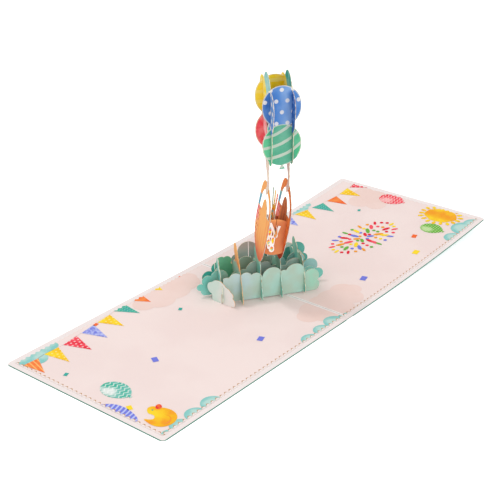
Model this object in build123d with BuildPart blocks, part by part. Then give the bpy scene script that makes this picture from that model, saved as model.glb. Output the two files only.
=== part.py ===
from build123d import *

import os
from math import cos, degrees, radians, sin, sqrt, tan

# Pop-up card, open flat: a folded cover with two liners, a slotted lattice of cloud sheets, a basket
# whose two sides grow out of that lattice, and a cluster of balloons tied to the basket's handles.
# Millimetres and degrees. X runs across the two panels, Y along the fold and Z up. The origin is the
# middle of the fold, on the surface that the left panel lies on.

# Cover and liners
PANEL_WIDTH = 200.0
PANEL_HEIGHT = 150.0
PANEL_CURL = 9.1  # rise of the right panel's outer edge
CORNER_RADIUS = 4.0
COVER_THICKNESS = 0.5
LINER_THICKNESS = 0.25
GLUE_FILM = 0.1  # between the cover and a liner
LINER_MARGIN = 4.5
LINER_FOLD_GAP = 1.0
SCORE_WIDTH = 0.6
SCORE_DEPTH = 0.2

# Paper and joints
PAPER = 0.35
CLEARANCE = 0.1
LAP_HEIGHT = 10.0  # height at which a long sheet sits in a cross sheet
FOOT_GAP = 0.75  # from the liner to the lattice's lower edges

# Lattice, seen from above: its left corner, its two directions and the stations of its sheets
LATTICE_CORNER = (-41.5, 13.0)
LONG_ANGLE = -35.0
CROSS_ANGLE = 51.0
LONG_STATIONS = (0.0, 16.0, 32.0, 47.7)
CROSS_STATIONS = (0.0, 14.5, 30.3, 46.0, 64.7)
LONG_START = 1.0  # the first long sheet begins here, clear of the small cloud

# Crest heights of the cloud sheets
LONG_CRESTS = (25.5, 24.0, 23.5, 26.0)
CROSS_CRESTS = (30.0, 40.0, 36.0, 36.0, 32.0)

# Small clouds that carry the lattice
SMALL_CLOUD_LENGTH = 26.0
SMALL_CLOUD_HEIGHT = 18.5
SMALL_CLOUD_LAP = 8.0
SMALL_CLOUD_REACH = 3.1  # of the last long sheet beyond its last crossing
TONGUE_SHARE = 0.7  # of the small cloud's length

# Sway of the standing sheets along the long direction
SWAY = 7.2
SWAY_START = 25.0
SWAY_END = 95.0

# Basket
BASKET_STATION = 8.0  # its middle, along the cross direction
BASKET_BASE = 29.0  # its lowest point, inside the foot cloud
BASKET_HALF_WIDTH = 20.5
BASKET_HALF_HEIGHT = 31.5
HANDLE_WIDTH = 4.0
HANDLE_TOP_WIDTH = 7.0
HANDLE_OPENING = 25.0  # from the top of the handle down to the basket's rim
CONTENT_RISE = 10.5  # of what is in the basket above its rim
CONTENT_HALF_WIDTH = 9.0
WALL_OFFSET = 13.0  # of the basket's walls from its middle
WALL_LEAN = 10.0
WALL_CURVE = 16.0  # half width of the ellipse that gives the walls their edges
FRONT_WALL_MIDDLE = 52.2
FRONT_WALL_HALF_HEIGHT = 14.3
BACK_WALL_MIDDLE = 50.0
BACK_WALL_HALF_HEIGHT = 9.5
TAB_MIDDLE = 50.0
TAB_HEIGHT = 8.0

# Balloons
BALLOON_STATION = 3.5  # middle of the cluster, along the cross direction
BALLOON_SPACING = 12.5  # from there to the front and the back sheet
BALLOON_SIZE = 14.4  # half width of a balloon on the long sheets
BALLOON_HEIGHT = 15.4
BALLOON_TAPER = 0.8  # of a cross sheet's balloon, from its widest part to its foot
BALLOON_LAP = 122.0  # height at which a long balloon sheet sits on the cross sheets
CLUSTER_MIDDLE = 142.0
KNOT_WIDTH = 4.4
KNOT_HEIGHT = 4.0
KNOT_OVERLAP = 1.0  # of the knot on its balloon
KNOT_ANGLE = 65.0
STRING_WIDTH = 5.0  # of the strings side by side
STRING_GLUED = 8.0  # length below the top of the handle
STRING_BEND = 102.0
STRING_TOP = 118.0
STRING_TOP_STATION = 8.5
STRING_BEND_STATION = 3.5
STRING_TAIL_STATION = 1.0
STRING_TAIL_MIDDLE = 105.0
STRING_TAIL_SIZE = (5.0, 16.0)

# Topper and the bow in front of it
TOPPER_LAP = 50.0
TOPPER_LEAN = 7.3
TOPPER_MIDDLE = 56.0
STREAMER_TOP = 84.0
BOW_LAP = 54.0
BOW_OFFSET = 1.2  # from the front wall

# Worked out from the sizes above
CURL_RADIUS = PANEL_WIDTH**2 / (2 * PANEL_CURL)
CURL_ANGLE = PANEL_WIDTH / CURL_RADIUS
RIGHT_EDGE = CURL_RADIUS * sin(CURL_ANGLE)
LINER_BOTTOM = COVER_THICKNESS + GLUE_FILM
CARD_TOP = LINER_BOTTOM + LINER_THICKNESS
REACH = 4 * PANEL_WIDTH  # longer than any piece, for cuts that go right through
CROSSING_ANGLE = CROSS_ANGLE - LONG_ANGLE
LONG_DIRECTION = Vector(cos(radians(LONG_ANGLE)), sin(radians(LONG_ANGLE)), 0)
CROSS_DIRECTION = Vector(cos(radians(CROSS_ANGLE)), sin(radians(CROSS_ANGLE)), 0)
LATTICE_LENGTH = CROSS_STATIONS[-1]
LATTICE_DEPTH = LONG_STATIONS[-1]
TOWER_MIDDLE = (CROSS_STATIONS[2] + CROSS_STATIONS[3]) / 2
BASKET_MIDDLE = BASKET_BASE + BASKET_HALF_HEIGHT
BASKET_TOP = BASKET_MIDDLE + BASKET_HALF_HEIGHT
BASKET_RIM = BASKET_TOP - HANDLE_OPENING
FRONT_WALL_STATION = BASKET_STATION - WALL_OFFSET
BACK_WALL_STATION = BASKET_STATION + WALL_OFFSET
BOW_STATION = FRONT_WALL_STATION - BOW_OFFSET
FRONT_BALLOONS = BALLOON_STATION - BALLOON_SPACING
BACK_BALLOONS = BALLOON_STATION + BALLOON_SPACING
STRING_OFFSET = -(PAPER + CLEARANCE / 2)  # of a balloon sheet from the handle that it is glued to

# Lobes of the clouds: centre along the sheet as a share of the lattice, centre's height and radius
# as shares of the crest
LONG_LOBES = (
    ((0.03, 0.15, 0.12), (0.05, 0.64, 0.20), (0.16, 0.73, 0.21), (0.29, 0.72, 0.20),
     (0.41, 0.67, 0.20), (0.61, 0.67, 0.31), (0.75, 0.71, 0.13), (0.89, 0.69, 0.31),
     (1.09, 0.51, 0.24), (1.11, 0.22, 0.20)),
    ((-0.15, 0.19, 0.18), (-0.22, 0.33, 0.12), (-0.13, 0.52, 0.19), (0.01, 0.56, 0.30),
     (0.22, 0.54, 0.19), (0.31, 0.60, 0.17), (0.45, 0.69, 0.31), (0.57, 0.71, 0.23),
     (0.69, 0.57, 0.21), (0.80, 0.52, 0.19), (0.94, 0.60, 0.32), (1.12, 0.38, 0.18),
     (1.23, 0.27, 0.19)),
    ((-0.08, 0.32, 0.22), (0.04, 0.60, 0.23), (0.08, 0.83, 0.17), (0.15, 0.84, 0.16),
     (0.26, 0.58, 0.19), (0.38, 0.61, 0.29), (0.56, 0.62, 0.28), (0.70, 0.57, 0.26),
     (0.81, 0.51, 0.21), (1.01, 0.51, 0.30), (1.20, 0.24, 0.26)),
    ((0.12, 0.20, 0.16), (0.22, 0.30, 0.20), (0.33, 0.42, 0.22), (0.46, 0.67, 0.33),
     (0.65, 0.54, 0.27), (0.80, 0.50, 0.25), (0.99, 0.40, 0.25),
     (1.09, 0.52, 0.25), (1.16, 0.20, 0.17)),
)
BASKET_FOOT_LOBES = (
    (-0.03, 0.13, 0.16), (0.06, 0.31, 0.18), (0.12, 0.50, 0.18), (0.18, 0.68, 0.24),
    (0.34, 0.85, 0.20), (0.46, 0.44, 0.20), (0.82, 0.26, 0.20),
)
CROSS_LOBES = {
    1: ((0.03, 0.17, 0.15), (0.08, 0.37, 0.20), (0.23, 0.60, 0.20), (0.35, 0.82, 0.18),
        (0.44, 0.46, 0.18), (0.62, 0.30, 0.18)),
    2: ((-0.09, 0.11, 0.13), (0.01, 0.28, 0.17), (0.11, 0.45, 0.18), (0.20, 0.60, 0.20),
        (0.31, 0.76, 0.17), (0.39, 0.85, 0.15), (0.48, 0.40, 0.19), (0.84, 0.22, 0.16)),
    5: ((0.01, 0.16, 0.16), (0.08, 0.38, 0.19), (0.20, 0.59, 0.22), (0.29, 0.68, 0.17),
        (0.42, 0.62, 0.16), (0.58, 0.74, 0.19), (0.70, 0.80, 0.19), (0.84, 0.38, 0.24)),
}
SMALL_CLOUD_LOBES = (
    (-0.30, 0.19, 0.25), (-0.31, 0.51, 0.15), (-0.12, 0.43, 0.38), (0.13, 0.54, 0.46),
    (0.38, 0.56, 0.26),
)

# Balloons on the cross sheets: place across from the cluster's middle, height from it, half sizes
CROSS_BALLOONS = (
    (-12.5, 8.5, 11.5, 15.4),
    (-1.5, 19.5, 11.0, 15.4),
    (12.5, 13.5, 12.0, 15.4),
    (10.0, -15.0, 10.5, 17.0),
    (-9.0, -17.0, 8.5, 15.4),
)

# Heights from the cluster's middle of the two balloons on each long sheet
LONG_BALLOONS = {"front": (12.5, -16.0), "back": (13.5, -12.5)}

# Shapes of the topper: place across from the basket's middle, height from the topper's middle,
# half sizes and lean
TOPPER_SHAPES = (
    (0.0, 0.0, 9.5, 12.0, 0.0),
    (-1.0, 11.0, 6.0, 6.0, 0.0),
    (-14.0, 1.0, 5.5, 4.5, 0.0),
    (-1.0, -12.5, 4.5, 6.0, 0.0),
    (10.0, -5.0, 7.0, 4.5, -8.0),
)

# Streamers of the topper: place across from the basket's middle, half width, half length and lean
STREAMERS = ((5.0, 1.4, 8.5, -12.0), (-0.5, 1.4, 8.5, -2.0), (-5.5, 1.4, 8.0, 12.0))

# Bow: place along from the topper, height from the lap, half sizes and lean of its loops and ends
BOW_LOOPS = (
    (0.0, 0.0, 1.8, 2.1, 0.0),
    (-5.3, -4.5, 1.5, 5.8, 6.0),
    (-2.1, -4.0, 1.6, 4.5, -10.0),
    (-3.0, -10.2, 2.0, 2.8, 0.0),
    (-4.1, 4.0, 1.6, 5.2, -5.0),
)
BOW_ENDS = ((-1.7, 5.3, 0.9, 5.8, 18.0), (1.7, 3.6, 1.0, 4.2, -24.0))


def lattice_point(along: float, across: float) -> tuple[float, float]:
    """Give the X and Y of a point of the lattice."""
    point = Vector(*LATTICE_CORNER, 0) + LONG_DIRECTION * along + CROSS_DIRECTION * across
    return point.X, point.Y


def upright_plane(point: tuple[float, float], angle: float) -> Plane:
    """Give the upright plane through a point, with local X at an angle and local Y up from the liner."""
    direction = (cos(radians(angle)), sin(radians(angle)), 0)
    normal = (direction[1], -direction[0], 0)
    return Plane(origin=(*point, CARD_TOP), x_dir=direction, z_dir=normal)


def long_plane(station: float) -> Plane:
    """Give the middle plane of a long sheet."""
    return upright_plane(lattice_point(0, station), LONG_ANGLE)


def cross_plane(station: float) -> Plane:
    """Give the middle plane of a cross sheet."""
    return upright_plane(lattice_point(station, 0), CROSS_ANGLE)


def slot_width(angle: float) -> float:
    """Give the width of a slot through which a sheet passes at an angle."""
    return PAPER / sin(radians(angle)) + PAPER / abs(tan(radians(angle))) + CLEARANCE


def cloud_outline(lobes, span: float, crest: float, start: float = -REACH) -> Sketch:
    """Draw a cloud's silhouette: round lobes on a body, cut flat at the foot and at its start."""
    centres = [(span * along, crest * height) for along, height, _ in lobes]
    with BuildSketch() as outline:
        with BuildLine():
            Polyline((centres[0][0], FOOT_GAP), *centres, (centres[-1][0], FOOT_GAP), close=True)
        make_face()
        for centre, (_, _, radius) in zip(centres, lobes):
            with Locations(centre):
                Circle(crest * radius)
        with Locations((start, FOOT_GAP)):
            Rectangle(2 * REACH, REACH, align=(Align.MIN, Align.MIN), mode=Mode.INTERSECT)
    return outline.sketch


def slots_from_foot(stations, angle: float, top: float, foot: float = 0) -> Sketch:
    """Draw the slots that open at a sheet's foot."""
    with BuildSketch() as slots:
        for station in stations:
            with Locations((station, foot)):
                Rectangle(slot_width(angle), top - foot, align=(Align.CENTER, Align.MIN))
    return slots.sketch


def slots_from_crest(stations, angle: float, bottom: float) -> Sketch:
    """Draw the slots that open at a sheet's crest."""
    with BuildSketch() as slots:
        for station in stations:
            with Locations((station, bottom)):
                Rectangle(slot_width(angle), REACH, align=(Align.CENTER, Align.MIN))
    return slots.sketch


def swayed_band(left: float, right: float, bottom: float, top: float) -> Sketch:
    """Draw what lies between two stations of the long direction where the sheets sway."""
    middle = (SWAY / 2, (SWAY_START + SWAY_END) / 2)
    with BuildSketch() as band:
        with BuildLine():
            for side in (left, right):
                foot = Line((side, -REACH), (side, SWAY_START))
                bend = TangentArc(foot @ 1, (side + middle[0], middle[1]), tangent=(0, 1))
                back = TangentArc(bend @ 1, (side + SWAY, SWAY_END), tangent=bend % 1)
                Line(back @ 1, (side + SWAY, REACH))
            Line((left, -REACH), (right, -REACH))
            Line((left + SWAY, REACH), (right + SWAY, REACH))
        make_face()
        with Locations((0, bottom)):
            Rectangle(2 * REACH, top - bottom, align=(Align.CENTER, Align.MIN), mode=Mode.INTERSECT)
    return band.sketch


def balloon_outline(half_width: float, half_height: float) -> Sketch:
    """Draw a balloon's silhouette: round at the top, a little narrower at the foot."""
    foot_radius = BALLOON_TAPER * half_width
    with BuildSketch() as outline:
        with Locations((0, half_height - half_width)):
            Circle(half_width)
        with Locations((0, foot_radius - half_height)):
            Circle(foot_radius)
        make_hull()
    return outline.sketch


def rounded_strip(half_width: float, half_height: float) -> Sketch:
    """Draw a strip with round ends, or a disc where it is as wide as it is high."""
    with BuildSketch() as outline:
        if half_width == half_height:
            Circle(half_width)
        else:
            turn = 90 if half_height > half_width else 0
            SlotOverall(2 * max(half_width, half_height), 2 * min(half_width, half_height), rotation=turn)
    return outline.sketch


def sway_at(height: float) -> float:
    """Give how far a swaying sheet has moved along the long direction at a height."""
    half_height = (SWAY_END - SWAY_START) / 2
    radius = (half_height**2 + (SWAY / 2) ** 2) / SWAY
    if height <= SWAY_START:
        return 0.0
    if height >= SWAY_END:
        return SWAY
    if height <= SWAY_START + half_height:
        return radius - sqrt(radius**2 - (height - SWAY_START) ** 2)
    return SWAY - radius + sqrt(radius**2 - (SWAY_END - height) ** 2)


def leaning_band(width: float, bottom: float) -> Sketch:
    """Draw what lies within a width about the topper's leaning plane, above a height."""
    with BuildSketch() as band:
        with Locations(Location((TOPPER_FOOT_STATION, TOPPER_LAP), -TOPPER_LEAN)):
            Rectangle(width, REACH)
        with Locations((TOPPER_FOOT_STATION, bottom)):
            Rectangle(REACH, REACH, align=(Align.CENTER, Align.MIN), mode=Mode.INTERSECT)
    return band.sketch


def bent_band(bottom: float, top: float) -> Sketch:
    """Draw the section of a layer of the card: flat on the left of the fold, curling up on the right."""
    with BuildSketch() as band:
        with BuildLine():
            lower = JernArc((0, bottom), (1, 0), CURL_RADIUS - bottom, degrees(CURL_ANGLE))
            upper = JernArc((0, top), (1, 0), CURL_RADIUS - top, degrees(CURL_ANGLE))
            Line(lower @ 1, upper @ 1)
            Polyline(lower @ 0, (-PANEL_WIDTH, bottom), (-PANEL_WIDTH, top), upper @ 0)
        make_face()
    return band.sketch


def rise_at(x: float) -> float:
    """Give how far the right panel has curled up at a distance from the fold."""
    return CURL_RADIUS - sqrt(CURL_RADIUS**2 - x**2) if x > 0 else 0.0


half_sheet = PAPER / 2

# Where the leaning topper meets the walls' slots
TOPPER_FOOT_STATION = TOWER_MIDDLE + sway_at(TOPPER_LAP)
BOW_LAP_STATION = TOPPER_FOOT_STATION + (BOW_LAP - TOPPER_LAP) * tan(radians(TOPPER_LEAN))

# Where the two small clouds stand
left_cloud_point = lattice_point(CROSS_STATIONS[0], LONG_STATIONS[0])
right_cloud_point = lattice_point(CROSS_STATIONS[-1] + SMALL_CLOUD_REACH, LONG_STATIONS[-1])
TONGUE_LENGTH = TONGUE_SHARE * SMALL_CLOUD_LENGTH

# Cover, folded from one sheet and scored along the fold
with BuildPart() as cover:
    with BuildSketch(Plane.XZ):
        add(bent_band(0, COVER_THICKNESS))
    extrude(amount=PANEL_HEIGHT, both=True)
    with BuildSketch(Plane.XY.offset(-REACH)):
        with Locations(((RIGHT_EDGE - PANEL_WIDTH) / 2, 0)):
            RectangleRounded(PANEL_WIDTH + RIGHT_EDGE, PANEL_HEIGHT, CORNER_RADIUS)
    extrude(amount=2 * REACH, mode=Mode.INTERSECT)
    with BuildSketch(Plane.XY.offset(COVER_THICKNESS - SCORE_DEPTH)):
        Rectangle(SCORE_WIDTH, 2 * PANEL_HEIGHT)
    extrude(amount=REACH, mode=Mode.SUBTRACT)
cover.part.label = "cover"

# Liners, one on each panel, slit where a small cloud's tongues go through
LINER_WIDTHS = {
    "left": PANEL_WIDTH - LINER_MARGIN - LINER_FOLD_GAP / 2,
    "right": RIGHT_EDGE - LINER_MARGIN - LINER_FOLD_GAP / 2,
}
with BuildPart() as liner_left:
    with BuildSketch(Plane.XZ):
        add(bent_band(LINER_BOTTOM, CARD_TOP))
    extrude(amount=PANEL_HEIGHT, both=True)
    with BuildSketch(Plane.XY.offset(-REACH)):
        with Locations((-(LINER_FOLD_GAP + LINER_WIDTHS["left"]) / 2, 0)):
            Rectangle(LINER_WIDTHS["left"], PANEL_HEIGHT - 2 * LINER_MARGIN)
        with Locations(left_cloud_point):
            Rectangle(PAPER + CLEARANCE, TONGUE_LENGTH + CLEARANCE, mode=Mode.SUBTRACT)
    extrude(amount=2 * REACH, mode=Mode.INTERSECT)
liner_left.part.label = "liner_left"

with BuildPart() as liner_right:
    with BuildSketch(Plane.XZ):
        add(bent_band(LINER_BOTTOM, CARD_TOP))
    extrude(amount=PANEL_HEIGHT, both=True)
    with BuildSketch(Plane.XY.offset(-REACH)):
        with Locations(((LINER_FOLD_GAP + LINER_WIDTHS["right"]) / 2, 0)):
            Rectangle(LINER_WIDTHS["right"], PANEL_HEIGHT - 2 * LINER_MARGIN)
        with Locations(right_cloud_point):
            Rectangle(PAPER + CLEARANCE, TONGUE_LENGTH + CLEARANCE, mode=Mode.SUBTRACT)
    extrude(amount=2 * REACH, mode=Mode.INTERSECT)
liner_right.part.label = "liner_right"

# Small clouds, upright and parallel to the fold, slotted from the foot over the lattice
small_clouds = {}
for side, point, angle in (
    ("left", left_cloud_point, 90 - CROSS_ANGLE),
    ("right", right_cloud_point, 90 - LONG_ANGLE),
):
    rise = rise_at(point[0])
    with BuildPart() as small_cloud:
        with BuildSketch(upright_plane(point, 90)):
            add(cloud_outline(SMALL_CLOUD_LOBES, SMALL_CLOUD_LENGTH, SMALL_CLOUD_HEIGHT))
            with Locations((0, rise - LINER_THICKNESS)):
                Rectangle(
                    TONGUE_LENGTH, LINER_THICKNESS + 2 * FOOT_GAP, align=(Align.CENTER, Align.MIN)
                )
            add(
                slots_from_foot((0,), angle, SMALL_CLOUD_LAP + CLEARANCE / 2, -CARD_TOP),
                mode=Mode.SUBTRACT,
            )
        extrude(amount=PAPER / 2, both=True)
    small_cloud.part.label = f"small_cloud_{side}"
    small_clouds[side] = small_cloud.part

# Long cloud sheets, slotted from the crest
cloud_longs = []
for number, (station, lobes, crest) in enumerate(zip(LONG_STATIONS, LONG_LOBES, LONG_CRESTS), 1):
    first, last = number == 1, number == len(LONG_STATIONS)
    with BuildPart() as cloud_long:
        with BuildSketch(long_plane(station)):
            add(cloud_outline(lobes, LATTICE_LENGTH, crest, LONG_START if first else -REACH))
            add(
                slots_from_crest(
                    CROSS_STATIONS[1 if first else 0:], CROSSING_ANGLE, LAP_HEIGHT - CLEARANCE / 2
                ),
                mode=Mode.SUBTRACT,
            )
            if last:
                add(
                    slots_from_crest(
                        (CROSS_STATIONS[-1] + SMALL_CLOUD_REACH,),
                        90 - LONG_ANGLE,
                        SMALL_CLOUD_LAP - CLEARANCE / 2,
                    ),
                    mode=Mode.SUBTRACT,
                )
        extrude(amount=PAPER / 2, both=True)
    cloud_long.part.label = f"cloud_long_{number}"
    cloud_longs.append(cloud_long.part)

# Cross cloud sheets, slotted from the foot; the first also from the crest, for the small cloud
cloud_crosses = []
for number, lobes in CROSS_LOBES.items():
    first = number == 1
    with BuildPart() as cloud_cross:
        with BuildSketch(cross_plane(CROSS_STATIONS[number - 1])):
            add(cloud_outline(lobes, LATTICE_DEPTH, CROSS_CRESTS[number - 1]))
            add(
                slots_from_foot(
                    LONG_STATIONS[1 if first else 0:], CROSSING_ANGLE, LAP_HEIGHT + CLEARANCE / 2
                ),
                mode=Mode.SUBTRACT,
            )
            if first:
                add(
                    slots_from_crest((0,), 90 - CROSS_ANGLE, SMALL_CLOUD_LAP - CLEARANCE / 2),
                    mode=Mode.SUBTRACT,
                )
        extrude(amount=PAPER / 2, both=True)
    cloud_cross.part.label = f"cloud_cross_{number}"
    cloud_crosses.append(cloud_cross.part)

# Basket sides: a cloud foot, the basket and its handle in one sheet that sways as it rises
basket_sides = {}
for side, station in (("left", CROSS_STATIONS[2]), ("right", CROSS_STATIONS[3])):
    with BuildPart() as basket_side:
        with BuildSketch(long_plane(BASKET_STATION)):
            add(swayed_band(station - half_sheet, station + half_sheet, 0, REACH))
        extrude(amount=PANEL_HEIGHT, dir=CROSS_DIRECTION, both=True)
        with BuildSketch(cross_plane(station)):
            with Locations((BASKET_STATION, BASKET_MIDDLE)):
                Ellipse(BASKET_HALF_WIDTH, BASKET_HALF_HEIGHT)
                Ellipse(
                    BASKET_HALF_WIDTH - HANDLE_WIDTH,
                    BASKET_HALF_HEIGHT - HANDLE_TOP_WIDTH,
                    mode=Mode.SUBTRACT,
                )
                with BuildSketch(mode=Mode.PRIVATE) as body:
                    Ellipse(BASKET_HALF_WIDTH, BASKET_HALF_HEIGHT)
                    with Locations((0, BASKET_RIM - BASKET_MIDDLE)):
                        Rectangle(
                            2 * REACH, REACH, align=(Align.CENTER, Align.MIN), mode=Mode.SUBTRACT
                        )
                    Ellipse(CONTENT_HALF_WIDTH, BASKET_RIM + CONTENT_RISE - BASKET_MIDDLE)
                add(body.sketch)
            add(cloud_outline(BASKET_FOOT_LOBES, LATTICE_DEPTH, CROSS_CRESTS[2]))
            add(
                slots_from_foot(LONG_STATIONS, CROSSING_ANGLE, LAP_HEIGHT + CLEARANCE / 2),
                mode=Mode.SUBTRACT,
            )
            with Locations((FRONT_WALL_STATION, TAB_MIDDLE), (BACK_WALL_STATION, TAB_MIDDLE)):
                Rectangle(slot_width(CROSSING_ANGLE), TAB_HEIGHT + CLEARANCE, mode=Mode.SUBTRACT)
        extrude(amount=PANEL_HEIGHT, dir=LONG_DIRECTION, both=True, mode=Mode.INTERSECT)
    basket_side.part.label = f"basket_side_{side}"
    basket_sides[side] = basket_side.part

# Basket walls, between the two sides, with tabs that end flush in the sides' slits
basket_walls = {}
for place, station, middle, half_height in (
    ("front", FRONT_WALL_STATION, FRONT_WALL_MIDDLE, FRONT_WALL_HALF_HEIGHT),
    ("back", BACK_WALL_STATION, BACK_WALL_MIDDLE, BACK_WALL_HALF_HEIGHT),
):
    inner_left = CROSS_STATIONS[2] + half_sheet + CLEARANCE
    inner_right = CROSS_STATIONS[3] - half_sheet - CLEARANCE
    with BuildPart() as basket_wall:
        with BuildSketch(long_plane(station)):
            with Locations(Location((TOWER_MIDDLE + sway_at(middle), middle), -WALL_LEAN)):
                Ellipse(WALL_CURVE, half_height)
            add(swayed_band(inner_left, inner_right, 0, REACH), mode=Mode.INTERSECT)
            add(
                swayed_band(
                    CROSS_STATIONS[2] - half_sheet,
                    CROSS_STATIONS[3] + half_sheet,
                    TAB_MIDDLE - TAB_HEIGHT / 2,
                    TAB_MIDDLE + TAB_HEIGHT / 2,
                )
            )
            add(
                leaning_band(slot_width(CROSSING_ANGLE), TOPPER_LAP - CLEARANCE / 2),
                mode=Mode.SUBTRACT,
            )
        extrude(amount=half_sheet, both=True)
    basket_wall.part.label = f"basket_{place}_wall"
    basket_walls[place] = basket_wall.part

# Topper: a bundle with streamers in one leaning sheet, slotted from its foot over both walls and the bow
with BuildPart() as topper:
    with BuildSketch(long_plane(BASKET_STATION)):
        add(leaning_band(PAPER, 0))
    extrude(amount=PANEL_HEIGHT, dir=CROSS_DIRECTION, both=True)
    with BuildSketch(cross_plane(TOWER_MIDDLE)):
        for across, height, half_width, half_height, lean in TOPPER_SHAPES:
            with Locations(Location((BASKET_STATION + across, TOPPER_MIDDLE + height), lean)):
                Ellipse(half_width, half_height)
        for across, half_width, half_height, lean in STREAMERS:
            with Locations(Location((BASKET_STATION + across, STREAMER_TOP - half_height), lean)):
                Rectangle(2 * half_width, 2 * half_height)
        add(
            slots_from_foot(
                (FRONT_WALL_STATION, BACK_WALL_STATION), CROSSING_ANGLE, TOPPER_LAP + CLEARANCE / 2
            ),
            mode=Mode.SUBTRACT,
        )
        add(
            slots_from_foot((BOW_STATION,), CROSSING_ANGLE, BOW_LAP + CLEARANCE / 2),
            mode=Mode.SUBTRACT,
        )
    extrude(amount=PANEL_HEIGHT, dir=LONG_DIRECTION, both=True, mode=Mode.INTERSECT)
topper.part.label = "topper"

# Bow: loops and ends of ribbon in one sheet, slotted from the crest over the topper's front end
with BuildPart() as bow:
    with BuildSketch(long_plane(BOW_STATION)):
        for along, height, half_width, half_height, lean in BOW_LOOPS:
            with Locations(Location((BOW_LAP_STATION + along, BOW_LAP + height), lean)):
                add(rounded_strip(half_width, half_height))
        for along, height, half_width, half_height, lean in BOW_ENDS:
            with Locations(Location((BOW_LAP_STATION + along, BOW_LAP + height), lean)):
                Rectangle(2 * half_width, 2 * half_height)
        add(leaning_band(slot_width(CROSSING_ANGLE), BOW_LAP - CLEARANCE / 2), mode=Mode.SUBTRACT)
    extrude(amount=half_sheet, both=True)
bow.part.label = "bow"

# Balloon cross sheets, slotted from the crest, with a string glued to the handle
balloon_crosses = {}
for side, station in (("left", CROSS_STATIONS[2]), ("right", CROSS_STATIONS[3])):
    middle = station + STRING_OFFSET
    with BuildPart() as balloon_cross:
        with BuildSketch(long_plane(BALLOON_STATION)):
            add(swayed_band(middle - half_sheet, middle + half_sheet, 0, REACH))
        extrude(amount=PANEL_HEIGHT, dir=CROSS_DIRECTION, both=True)
        with BuildSketch(cross_plane(middle)):
            with BuildLine():
                upper = TangentArc(
                    (STRING_TOP_STATION, STRING_TOP), (STRING_BEND_STATION, STRING_BEND), tangent=(0, -1)
                )
                TangentArc(upper @ 1, (BASKET_STATION, BASKET_TOP - STRING_GLUED), tangent=upper % 1)
            trace(line_width=STRING_WIDTH)
            with Locations((STRING_TAIL_STATION, STRING_TAIL_MIDDLE)):
                Rectangle(*STRING_TAIL_SIZE)
        extrude(amount=PANEL_HEIGHT, dir=LONG_DIRECTION, both=True, mode=Mode.INTERSECT)
        with BuildSketch(cross_plane(middle + SWAY)):
            for across, height, half_width, half_height in CROSS_BALLOONS:
                with Locations((BALLOON_STATION + across, CLUSTER_MIDDLE + height)):
                    add(balloon_outline(half_width, half_height))
            add(
                slots_from_crest(
                    (FRONT_BALLOONS, BACK_BALLOONS), CROSSING_ANGLE, BALLOON_LAP - CLEARANCE / 2
                ),
                mode=Mode.SUBTRACT,
            )
        extrude(amount=half_sheet * sin(radians(CROSSING_ANGLE)), both=True)
    balloon_cross.part.label = f"balloon_cross_{side}"
    balloon_crosses[side] = balloon_cross.part

# Long balloon sheets, two balloons each, slotted from the foot
balloon_longs = {}
tower_axis = TOWER_MIDDLE + SWAY
for place, station in (("front", FRONT_BALLOONS), ("back", BACK_BALLOONS)):
    with BuildPart() as balloon_long:
        with BuildSketch(long_plane(station)):
            for height in LONG_BALLOONS[place]:
                with Locations((tower_axis, CLUSTER_MIDDLE + height)):
                    add(rounded_strip(BALLOON_SIZE, BALLOON_HEIGHT))
            knot_top = CLUSTER_MIDDLE + min(LONG_BALLOONS[place]) - BALLOON_HEIGHT + KNOT_OVERLAP
            with Locations((tower_axis, knot_top)):
                Trapezoid(KNOT_WIDTH, KNOT_HEIGHT, KNOT_ANGLE, align=(Align.CENTER, Align.MAX))
            add(
                slots_from_foot(
                    (
                        CROSS_STATIONS[2] + STRING_OFFSET + SWAY,
                        CROSS_STATIONS[3] + STRING_OFFSET + SWAY,
                    ),
                    CROSSING_ANGLE,
                    BALLOON_LAP + CLEARANCE / 2,
                ),
                mode=Mode.SUBTRACT,
            )
        extrude(amount=half_sheet, both=True)
    balloon_long.part.label = f"balloon_long_{place}"
    balloon_longs[place] = balloon_long.part

# One file for each piece
pieces = [
    cover.part,
    liner_left.part,
    liner_right.part,
    *small_clouds.values(),
    *cloud_longs,
    *cloud_crosses,
    *basket_sides.values(),
    *basket_walls.values(),
    topper.part,
    bow.part,
    *balloon_crosses.values(),
    *balloon_longs.values(),
]
os.makedirs("parts", exist_ok=True)
for piece in pieces:
    export_step(piece, f"parts/{piece.label}.step")
    print(piece.label, len(piece.solids()), round(piece.volume, 2))
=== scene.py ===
import logging
from dataclasses import dataclass, field
from enum import Enum
from math import cos, degrees, pi, radians, sin, sqrt
from typing import NamedTuple, Sequence

import bmesh
import bpy
from mathutils import Matrix, Vector


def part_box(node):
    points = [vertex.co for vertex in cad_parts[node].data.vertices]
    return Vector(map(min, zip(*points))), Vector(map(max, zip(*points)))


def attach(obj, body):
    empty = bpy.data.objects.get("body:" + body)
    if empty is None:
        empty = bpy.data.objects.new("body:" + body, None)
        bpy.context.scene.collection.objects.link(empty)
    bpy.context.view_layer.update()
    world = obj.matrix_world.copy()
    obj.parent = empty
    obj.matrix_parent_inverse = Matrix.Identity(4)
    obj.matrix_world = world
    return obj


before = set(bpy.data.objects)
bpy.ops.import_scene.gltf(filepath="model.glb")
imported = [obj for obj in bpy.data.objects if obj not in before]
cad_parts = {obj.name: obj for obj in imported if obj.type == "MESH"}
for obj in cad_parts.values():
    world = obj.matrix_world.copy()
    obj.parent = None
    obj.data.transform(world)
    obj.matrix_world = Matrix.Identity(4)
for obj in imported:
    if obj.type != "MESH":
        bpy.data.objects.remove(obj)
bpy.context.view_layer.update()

LOG = logging.getLogger("card")
MM = 0.001

Point = tuple[float, float]
Disc = tuple[float, float, float]
Ellipse = tuple[float, float, float, float, float]
Outline = Sequence[Point]
Socket = bpy.types.NodeSocket

# Whole pitches added to a place, so that what is left after them is never negative.
PITCHES = 1000.0


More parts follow.
